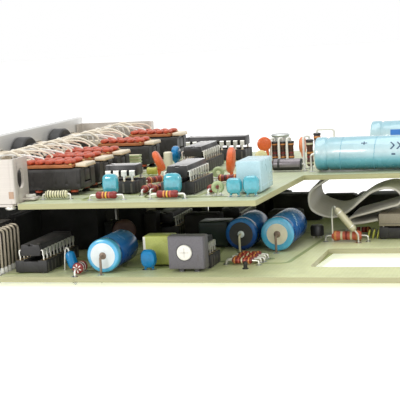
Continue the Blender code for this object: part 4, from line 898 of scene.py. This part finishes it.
def brackets():
    web = -65.3
    middles = [(1.95, -60.8), (1.95, web), (31, web)], [(30.9, web), (31.85, web), (31.85, -62.9)]
    folds = [prism(bent_sheet(line, bend), 24.9, 38, flat=True) for line, bend in zip(middles, (1.3, 1.1))]
    near = Kit("sheet", *folds, slotted_flange(), box((2, -65.6, 24), (31.2, -59.8, 24.8), 0.15))
    # A black strip where the web meets the foot plate: painted shadow of the gap between them.
    near.add("moulding", box((4, -65.45, 24.7), (30.4, -64.6, 25)))
    near.add("sheet", box((31.9, -60.1, 25.1), (35.85, -55.9, 25.9), 0.2))
    hex_nut(near, (33.7, -58, 25.9), Z, 1.75, 0.85, 0.6)
    near.add("tan_patch", box((30.3, -65.74, 26.4), (31.9, -65.66, 28.5), 0.03))
    near.add("tinned", lathe("1 0, 1.5 0.2, 1.6 0.6, 1.3 1", (29.6, -63.6, 24.02), -Z, 20))
    near.piece("bracket_near_sheet", "bracket_near", sharp=50)
    web = 63.3
    fold = prism(bent_sheet([(1.95, 58.8), (1.95, web), (31.85, web), (31.85, 59.3)]), 24, 38, flat=True)
    far = Kit("sheet", fold, box((2, 60.9, 24), (30.6, 63, 24.8), 0.15),
              box((31.9, 59.5, 25.1), (35.85, 63.5, 25.9), 0.2))
    hex_nut(far, (33.9, 61.4, 25.9), Z, 1.5, 0.8, 0.6).piece("bracket_far_sheet", "bracket_far", sharp=50)


def dials():
    """Printed ticks round each knob and a line over each button."""
    face = -PANEL_HALF - 0.03
    depth = face + 0.05
    for number, y in enumerate(POT_Y, 1):
        ticks = Kit()
        for step in range(11):
            tick = box((face, -0.15, 7), (depth, 0.15, 8.6 if step % 5 == 0 else 8))
            ticks.add("moulding", moved(tick, spin(150 - 30 * step, "X", (0, y, CONTROL_Z))))
        ticks.piece(f"dial_ticks_{number}")
    Kit("moulding", *(bar(y, 4.6, face, depth, 24.2, 24.5) for y in SWITCH_Y)).piece("button_lines")
    # A near-black sheet behind the panel's lower half, between the boards: painted shade, standing in for the
    # shadow there.
    Kit("deep_black", box((1.58, -57, 3.4), (1.86, 57, 23.2), 0.08)).piece("panel_inner_painted_shade_sheet")


def switch_case(number, y):
    case = Kit("bakelite", bar(y, 6.2, HOUSING_START, HOUSING_END, 26.55, 28.45, 0.3))
    for side in (-1, 1):
        wall = box((HOUSING_START, y + side * 2.3, 28.2), (HOUSING_END, y + side * 6.2, 32.9), 0.35)
        case.add("bakelite", wall)
        for x in [23.4 + index * 3.75 for index in range(6)]:
            case.add("bakelite", box((x, y + side * 6.05, 27.3), (x + 3, y + side * 6.26, 32.2), 0.08))
        lip = box((HOUSING_END - 0.15, y + side * 2.6, 27.4), (HOUSING_END + 0.1, y + side * 5.9, 32.4), 0.1)
        case.add("moulding", lip)
        row = y + side * 4.6
        for index, x in enumerate([27.95 + 3.9 * index for index in range(5)]):
            case.add("dust_brown", bar(row, 0.35, x - 0.8, x + 0.8, 25.3, 26.7, 0.1))
            case.add("rivet", bar(row, 0.3, x - 0.4, x + 0.4, 24.6, 25.6))
            plant(upper, (x, row))
            if index in (1, 2, 4):
                bead = "0.5 0, 1.2 0.2, 1.25 0.7, 0.9 1"
                case.add("sleeve_coral", lathe(bead, (x, row - side * 0.1, 25.6), Z, 16))
                case.add("olive", lathe("1.3 0, 1.2 0.4, 0.6 0.8", (x, row, 24.85), Z, 14))
    case.piece(f"switch_{number}_case", f"switch_{number}_housing")


SOCK = "0.7 -2, 1.2 -1.75, 1.5 -0.9, 1.55 0.6, 1.3 1.7, 0.8 2.1"


def switch_strip(number, y):
    strip = Kit("phenolic", bar(y, 5.8, STRIP_START, STRIP_END, 33.2, 34.1, 0.12))
    squash = Matrix.Diagonal((0.98, 0.95, 0.5, 1))
    for row in (-1, 1):
        for index in range(5):
            x = STRIP_START + (index + 0.5) * TAG_PITCH + chance.uniform(-0.1, 0.1)
            at = vec(x, y + row * 2.8, 34.85)
            turn = spin(chance.uniform(-9, 9), "Z", at)
            strip.add("sleeve_coral", moved(lathe(SOCK, (0, 0, 0), Y, 18), turn @ squash))
            if row == 1:
                strip.add("wire_cream", tube([at + vec(0, 1.8, 0), at + vec(0, 2.7, 0.1)], 0.4))
    for x in (STRIP_START + 0.75, STRIP_END - 0.75):
        for side in (-1, 1):
            strip.add("brass", lathe("0.6 0, 0.6 0.2, 0.3 0.35", (x, y + side * 5.2, 34.1), Z, 14))
    strip.piece(f"switch_{number}_strip", f"switch_{number}_terminals")


def switch_key(number, y):
    ring = "3.9 -0.01, 4 0.12, 3.6 0.12, 3.5 -0.01"
    dish = "0.01 0.21, 1.2 0.19, 2.4 0.12, 3.3 0.04, 3.7 0, 3.8 0.15"
    low, high = CONTROL_Z - BUTTON_HALF, CONTROL_Z + BUTTON_HALF
    key = Kit("cream", bar(y, BUTTON_HALF, BUTTON_FACE, 4.25, low, high, 0.9, 3))
    key.add("cream_shade", lathe(ring, (BUTTON_FACE - 0.02, y, CONTROL_Z), X, 36))
    key.add("cream", lathe(dish, (BUTTON_FACE - 0.05, y, CONTROL_Z), X, 36))
    key.add("cream", bar(y, 2, 4, 24, 28.8, 32.2, 0.25))
    key.add("bakelite", bar(y, 1.96, 23.8, HOUSING_END, 28.82, 32.18, 0.25))
    key.add("bakelite", bar(y, 1.6, 44.05, 45.95, 32, 33.35, 0.1))
    key.add("cream", bar(y, 4, 44.05, 47.55, 33.2, 34.3, 0.25))
    # A darker band round the foot of the block: painted shade below its lit top.
    key.add("cream_shade", bar(y, 4.03, 44.02, 47.6, 33.18, 33.6, 0.1))
    key.add("cream", bar(y, 3.9, 46.6, 46.85, 34.2, 34.38, 0.08))
    key.piece(f"switch_{number}_key", f"switch_{number}_button", f"switch_{number}_button")


def pot(number, y):
    at = (0, y, CONTROL_Z)

    def ring(look, sides, profile):
        kit.add(look, lathe(profile, at, X, sides))

    kit = Kit()
    ring("moulding", 40, "7.4 1.56, 7.9 1.9, 7.9 5.7, 7.5 6.15")
    ring("moulding", 36, "5.6 6.1, 5.6 12.9, 5.2 13.35")
    ring("steel", 36, "5.7 8, 5.8 8.1, 5.8 8.6, 5.7 8.7")
    ring("brass", 28, "3.5 1.6, 3.5 -5.3, 3.2 -5.7")
    for h in [-1.9 - turn * 0.5 for turn in range(7)]:
        ring("brass", 28, [(3.5, h), (3.62, h - 0.12), (3.5, h - 0.25)])
    ring("steel", 28, "4.6 -1.27, 4.6 -1.6")
    hex_nut(kit, (-1.6, y, CONTROL_Z), -X, 4.4, 1.6, 2.4)
    for mid in (y - 4, y, y + 4):
        kit.add("tinned", bar(mid, 0.8, 3.55, 4.15, 20.6, 25.4, 0.1))
        kit.add("tinned", bar(mid, 0.45, 3.55, 4.15, 19.6, 20.7, 0.1))
        kit.add("solder", lathe("0.5 -0.5, 0.6 0, 0.5 0.5", (3.85, mid, 21.4), X, 14))
    for a, b in circle(y, CONTROL_Z, 6.6, 3, 0.25):
        kit.add("steel", about((5.9, a, b), (0.9, 1.2, 1.2), 0.2))
    kit.piece(f"pot_{number}_case", f"pot_{number}_body")

    kit = Kit()
    ring("knob_grey", 48, "6 -6.05, 6 -7, 5.75 -7.3, 5.2 -18, 4.9 -18.8, 4.4 -19.05, 3.9 -18.9, 0.01 -18.75")
    ring("steel", 20, "2 0.3, 2 -6.2")
    for index in range(24):
        ridge = moved(box((-17.4, -0.28, 5.05), (-8, 0.28, 5.62), 0.12), spin(-2.6, "Y"))
        kit.add("knob_grey", moved(ridge, spin(index * 15, "X", at)))
    kit.add("knob_mark", bar(y, 0.4, -19.08, -18.9, CONTROL_Z + 1.4, CONTROL_Z + 4.2, 0.05),
            bar(y, 0.4, -18.6, -7.2, CONTROL_Z + 5, CONTROL_Z + 5.72, 0.05))
    kit.piece(f"pot_{number}_grip", f"pot_{number}_knob", f"pot_{number}_knob")


# Wires of each strip: finish, radius, count, chance shift, then points with their step from wire to wire
STRIP_WIRES = (
    ("wire_cream", 0.29, 2, 0, ((28.99, 5.2, 35), (TAG_PITCH, 0, 0)), ((29.09, 5.7, 35.9), (TAG_PITCH, 0, 0)),
     ((26.39, 4.8, 37), (TAG_PITCH, 0.4, 0.3)), ((21.77, 3.8, 37.4), (1.64, 0.6, 0.3)),
     ((17.35, 2.4, 36.9), (0, 1.6, 0))),
    ("wire_white", 0.29, 2, 0.6, ((28.99, -0.7, 35), (TAG_PITCH, 0, 0)),
     ((28.19, -0.5, 35.9), (TAG_PITCH, 0, 0)), ((21.72, -2.3, 37.35), (1.64, 0.95, 0)),
     ((17.25, -3.9, 36.9), (0, 1.9, 0))),
    ("wire_white", 0.32, 3, 0, ((17.55, 5, 36.3), (0, 0.4, 0)), ((18.4, 5.8, 37.3), (2, 0, 0)),
     ((19.2, 5.4, 35.6), (2, 0, 0)), ((19.7, 5.6, 34), (2, 0, 0))),
)


def loom():
    """The tied wires behind the panel, with loops to each strip."""
    x, z = 16.75, 36.3
    low, high = CONTROL_Y[0] - 6, CONTROL_Y[6] + 6
    bundle = Kit()
    for strand in range(7):
        reach = 0 if strand == 6 else 0.84
        points = []
        for y in [low + (high - low) * step / 23 for step in range(24)]:
            twist = tau * strand / 6 + y * 0.05
            points.append((x + reach * cos(twist), y, z + reach * sin(twist)))
        bundle.add("wire_cream", tube(points, 0.44))
    bundle.add("wire_white", *(lathe("1.35 -0.3, 1.45 0, 1.35 0.3", (x, low + 5 + knot * 12.4, z), Y, 20)
                               for knot in range(9)))
    routes = [((x, y, z), (21.9, y, 38.2), (25.75, y, 36.85), (26.9, y, 35.2))
              for y in [row + side for row in SWITCH_Y for side in (-3, 3)]]
    routes += [((x, y, z), (26.3, y, 37.6), (35.85, y, 31.2), (35.85, y, UPPER_TOP + 0.1))
               for y in [row - 3 for row in POT_Y]]
    bundle.add("wire_cream", *(tube(curve(route), 0.36, 10) for route in routes))
    bundle.piece("wire_bundle", "wire_loom")
    for number, y in enumerate(SWITCH_Y, 1):
        loops = Kit()
        for look, radius, count, sway, *route in STRIP_WIRES:
            for index in range(count):
                points = [vec(0, y, 0) + Vector(at) + index * Vector(step) for at, step in route]
                if sway:
                    points[2].y += chance.uniform(-sway, sway)
                loops.add(look, tube(curve(points), radius))
        loops.piece(f"strip_wires_{number}")


# Larger single parts
def film_box(name, place, at, size, body, mark, mark_low, mark_high, *edge):
    """A box capacitor on feet and pins, with a mark between two corners counted from its own."""
    x0, y0, z0 = low = place(*at, GAP)
    x1, y1, z1 = x0 + size[0], y0 + size[1], z0 + size[2]
    made = Kit(body, box((x0, y0, z0 + 0.3), (x1, y1, z1), 0.4, 3))
    feet = [box((x, y0 + 0.6, z0), (x + 0.8, y1 - 0.6, z0 + 0.5), 0.1) for x in (x0 + 0.6, x1 - 1.4)]
    made.add(body, *feet)
    for x in (x0 + 1.4, x1 - 1.4):
        made.add("tinned", planted(place, vec(x, (y0 + y1) / 2, place(0, 0).z), 0.9))
    made.add(mark, box(low + Vector(mark_low), low + Vector(mark_high), *edge))
    made.piece(f"{place.__name__}_film_box{name}", f"{place.__name__}_film_capacitor{name}")


def film_boxes():
    film_box("", upper, (63.1, 12.7), (7.4, 14.2, 9.2), "film_pale", "can_mark_light",
             (-0.02, 0.8, 1.9), (7.42, 13.4, 2.1))
    film_box("_yellow", lower, (48.2, 15.2), (8.8, 6, 9), "film_yellow", "band_white",
             (-0.05, -0.04, 0.6), (0.8, 1.2, 8.8), 0.1)
    film_box("_green", lower, (56.3, 45.5), (9.6, 8, 8.2), "film_green", "olive",
             (1, -0.03, 6.8), (8.4, 0.02, 7))


def diode():
    start = upper(61.4, 65, 2.3)
    body = Kit("diode_grey", lathe("1.3 0, 1.8 0.15, 1.9 0.5, 1.9 9.1, 1.8 9.45, 1.3 9.6", start, X, 32))
    for ring in ("1.88 1.7, 1.95 1.75, 1.95 2.45, 1.88 2.5", "1.2 -0.03, 1.85 0.1, 1.93 0.4, 1.88 0.5",
                 "1.88 9.2, 1.93 9.3, 1.85 9.5, 1.2 9.62"):
        body.add("moulding", lathe(ring, start, X, 32))
    # A black patch over the underside of the body: painted shade.
    body.add("moulding", wrap(start, X, 1.9, (-68, 68), (0.5, 9.1), 0.04))
    for x, sign in ((0.2, -1), (9.4, 1)):
        end = start + X * x
        body.add("tinned", leg(upper, end, end + X * sign * 1.1, 0.4, 0.7))
    body.piece("power_diode_body", "power_diode")


def trimmer():
    x0, y0, z0 = 75.95, -59.1, 4
    x, z = 81.05, 9
    face = plate([[(x0 + 0.3, z0 + 0.3), (x0 + 10.8, z0 + 0.3), (x0 + 10.8, z0 + 9.5), (x0 + 0.3, z0 + 9.5)],
                  circle(x, z, 2.55, 32)], 0, 0.5)
    stand = Matrix(((1, 0, 0, 0), (0, 0, 1, y0), (0, 1, 0, 0), (0, 0, 0, 1)))
    block = box((x0, y0 + 0.35, z0), (x0 + 11.1, y0 + 4.6, z0 + 9.8), 0.35)
    case = Kit("trimmer_grey", block, moved(face, stand))
    for foot in (78.7, 83.3):
        case.add("trimmer_grey", box((foot, y0 + 1.6, 3.3), (foot + 1.4, y0 + 3, 4.2), 0.1))
        plant(lower, (foot + 0.7, y0 + 2.3))
    for dot in (x0 + 0.9, x0 + 10.2):
        case.add("slot_shade", lathe("0.35 0, 0.45 0.05, 0.45 0.12", (dot, y0 + 0.3, z0 + 8.6), -Y, 14))
    case.add("slot_shade", box((x0 + 9, y0 - 0.02, z0 + 2.6), (x0 + 9.25, y0 + 0.1, z0 + 4.4)))
    case.piece("trimmer_case", "trimmer_body")
    screw = Kit("rotor_white", lathe("2.2 0.9, 2.25 0.6, 2.25 -0.2, 2.05 -0.4, 0.01 -0.4", (x, y0, z), Y, 40))
    for size in ((2.8, 0.06, 0.36), (0.36, 0.06, 2.8)):
        screw.add("rotor_shade", about((x, y0 - 0.4, z), size))
    screw.piece("trimmer_screw", "trimmer_rotor", "trimmer_rotor")


def header():
    body = Kit("moulding", box((17.55, -65.3, 3.4), (21.15, -46.1, 17.4), 0.25))
    x = 23.9
    for y in [-55.7 + index * PIN_PITCH for index in range(-3, 4)]:
        body.add("socket", bar(y, 0.85, 20.9, 21.3, 15, 16.8, 0.1))
        body.add("pin_tan", tube(rounded([(20.9, y, 16), (x, y, 16), (x, y, 3.2)], 1.3, 5), 0.42, 10))
        # White collars at the foot of each pin: a painted highlight there.
        body.add("wire_white", tube([(x, y, 3), (x, y, 4.4), (x, y, 4.9)], [0.62, 0.62, 0.4], 10))
        plant(lower, (x, y))
    body.piece("bent_pin_header_body", "bent_pin_header")


ROUTE = ((95.6, 19.4), (92.7, 17.6), (90.3, 15.8), (89.5, 13.2), (90.3, 9.9), (93.5, 8), (97.7, 7.4),
         (102, 9.2), (106.6, 12.9), (109.9, 15.3), (114.4, 16.4), (117.7, 15.7), (119.3, 13.3), (118.2, 11.3),
         (115.4, 10.4), (107.3, 8.3), (103.2, 7.2), (102, 6.1), (103.4, 5.2), (107, 5.5), (111.4, 6.3))
RIBBON_WIDTH, RIBBON_NEAR, CORES, PER_CORE = 20.3, -6.2, 16, 4


def ribbon():
    """A flat cable folded back over itself between the boards."""
    path = curve([(LOWER_START + along, 0, LOWER_TOP + up) for along, up in ROUTE])
    count = CORES * PER_CORE
    rings = []
    for i, (point, along) in enumerate(headed(path)):
        normal = vec(-along.z, 0, along.x)
        lift = 2.2 * sin(pi * min(i / 54, 1))
        spots = []
        for k in range(count + 1):
            share = k / count
            spot = vec(point.x, RIBBON_NEAR + RIBBON_WIDTH * share, point.z + lift * share)
            spots.append((spot, normal * (0.24 + 0.2 * abs(sin(pi * k / PER_CORE)) ** 0.6)))
        rings.append([spot + half for spot, half in spots] + [spot - half for spot, half in reversed(spots)])
    Kit("ribbon_outer", loft(rings)).piece("ribbon_flat_cable", "ribbon_cable", sharp=60)
    x, y, z = spot = lower(116.8, 69.5)
    rows = [spot + vec(side * PIN_ROW, index * PIN_PITCH - 8.89, 0) for index in range(8) for side in (-1, 1)]
    plug = Kit("ribbon_plug", about((x, y, z + 6.2), (10.2, 20.32, 4), 0.35))
    plug.add("slot_shade", about((x, y, z + 5), (10.3, 20.4, 0.16)),
             *(about((x + dx, y, z + 8.15), (0.3, 18.6, 0.16), 0.05) for dx in (-2.6, 2.6)))
    plug.add("tinned", *(about(pin + rise(4.1), (0.3, 1.1, 0.6)) for pin in rows))
    plug.piece("ribbon_plug_body", "ribbon_plug")
    socket = Kit()
    for side in (0, 1):
        socket.add("socket", about((x + (2 * side - 1) * 3.65, y, z + 2.1), (2.9, 20.32, 3.6), 0.2))
        socket.add("tinned", *(planted(lower, pin) for pin in rows[side::2]))
    socket.add("socket", *(about((x, y + dy, z + 2), (4.6, 1.6, 3.3), 0.2) for dy in (-9.36, 9.36)))
    socket.piece("ribbon_socket_body", "ribbon_socket")


def deep_parts():
    """Dark parts far between the boards: guessed parts whose near-black finishes are painted shade."""
    black, brown = "deep_black", "dust_brown"
    for number, (at, size, look) in enumerate((
        ((0.4, 22), (3.8, 19, 15), black), ((2, 43), (21, 9, 16), black),
        ((24, 59.5), (8, 6.5, 13), black), ((47, 60), (12, 6, 9), brown),
        ((73, 70), (11, 7, 8), "olive"), ((27, 96), (15, 9, 12), black),
        ((44, 98), (21, 8, 11), brown), ((68, 98), (17, 8, 9.5), "olive"),
        ((97, 100), (23, 12, 8.5), brown), ((1, 100), (10, 5, 14), black),
        ((13, 104), (13, 6, 13), brown), ((62, 107.5), (10, 5, 9.5), black),
        ((84, 107.5), (12, 5, 8), "olive"), ((23.8, 46), (3.4, 6, 9), black),
        ((33, 59.6), (4.2, 5, 10), brown),
    ), 1):
        low = lower(*at)
        high = low + Vector(size)
        cap = box((low.x + 0.9, low.y + 0.9, high.z - 0.5), (high.x - 0.9, high.y - 0.9, high.z), 0.2)
        part = Kit(look, box(low + rise(0.3), high - rise(0.3), 0.5, 3), cap)
        for x in (low.x + 1.2, high.x - 1.2):
            part.add("tinned", planted(lower, vec(x, (low.y + high.y) / 2, LOWER_TOP), 0.6))
        part.piece(f"lower_deep_part_{number}")


boards()
resistors()
discs()
odd_parts()
for place, *rows in ((upper, ("amplifier", (25.6, 22.1), 8, 0, 1.7), ("near", (45.1, 23.4), 16, 90, 1.6),
                      ("middle", (32.8, 79), 16, 90, 1.5), ("far", (31, 106.3), 18, 0, 1.5)),
                     (lower, ("left", (15.9, 18), 20, 90, 1.4), ("middle", (64.8, 17.3), 8, 90, 1.6),
                      ("far_left", (38, 76), 16, 90, 1.4), ("far_right", (59, 84), 16, 90, 1.4))):
    for row in rows:
        dual_in_line(place, *row)
cans()
brackets()
dials()
for number, y in enumerate(SWITCH_Y, 1):
    for make in (switch_case, switch_strip, switch_key):
        make(number, y)
for number, y in enumerate(POT_Y, 1):
    pot(number, y)
loom()
film_boxes()
diode()
trimmer()
header()
ribbon()
deep_parts()
copper(upper, UPPER_UNDER, lambda x, y: x > 106 and y < -11.5)
copper(lower, LOWER_UNDER, lambda x, y: 115 < x < 166.5 and -51 < y < -21)

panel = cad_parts["front_panel"]
panel.data.materials.clear()
panel.data.materials.append(M["panel_brushed"])


# Studio
floor_mesh = bpy.data.meshes.new("floor")
reach, ground = 3, LOW.z - 0.0002
corners = [(x * reach, y * reach, ground) for x, y in ((-1, -1), (1, -1), (1, 1), (-1, 1))]
floor_mesh.from_pydata(corners, [], [(0, 1, 2, 3)])
finish("floor_white", (250, 250, 249), 0.7, 0.01, 0, (4, 4, 4))
feed(shader("floor_white"), {"Emission Color": (1, 1, 1, 1), "Emission Strength": 0.42})
floor_mesh.materials.append(M["floor_white"])
show(bpy.data.objects.new("floor", floor_mesh))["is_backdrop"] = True

world = bpy.data.worlds.new("studio")
world.use_nodes = True
bpy.context.scene.world = world
tree = world.node_tree
tree.nodes.clear()
rays = node(tree, "LightPath", {}).node.outputs
either = node(tree, "Math", {0: rays["Is Camera Ray"], 1: rays["Is Glossy Ray"]}, operation="MAXIMUM")
seen = node(tree, "Math", {0: either, 1: rays["Is Transmission Ray"]}, operation="MAXIMUM")
lit = node(tree, "Background", {"Color": (1, 0.99, 0.97, 1), "Strength": 0.55})
white = node(tree, "Background", {"Color": (1, 1, 1, 1), "Strength": 1})
sky = tree.nodes.new("ShaderNodeOutputWorld")
feed(sky, {"Surface": node(tree, "MixShader", {"Fac": seen, 1: lit, 2: white})})


def softbox(name, spot, aim, size, power):
    lamp = bpy.data.lights.new(name, "AREA")
    lamp.shape = "RECTANGLE"
    lamp.size, lamp.size_y = size
    lamp.energy = power
    made = show(bpy.data.objects.new(name, lamp))
    made.location = spot
    made.rotation_euler = (Vector(aim) - Vector(spot)).to_track_quat("-Z", "Y").to_euler()
    made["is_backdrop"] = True


softbox("overhead", (0.05, 0.05, 0.9), (0.1, 0, 0.02), (0.9, 0.7), 4.9)
softbox("front_left", (-0.35, -0.75, 0.35), (0.1, -0.03, 0.02), (0.3, 0.2), 2.2)
softbox("front_right", (0.62, -0.72, 0.3), (0.1, -0.03, 0.02), (0.16, 0.24), 1)

right, forward = vec(0.956, 0.288, -0.058), vec(-0.293, 0.947, -0.135)
back = -forward.normalized()
side = (right - back * right.dot(back)).normalized()
camera = show(bpy.data.objects.new("camera", bpy.data.cameras.new("camera")))
turn = Matrix((side, back.cross(side), back)).transposed().to_4x4()
camera.matrix_world = Matrix.Translation((0.19425, -0.4067, 0.0738)) @ turn
camera.data.lens = 115.86
camera.data.sensor_width = 36
camera.data.clip_start, camera.data.clip_end = 0.01, 20
scene = bpy.context.scene
scene.camera = camera
scene.view_settings.view_transform = "Standard"

low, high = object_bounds()
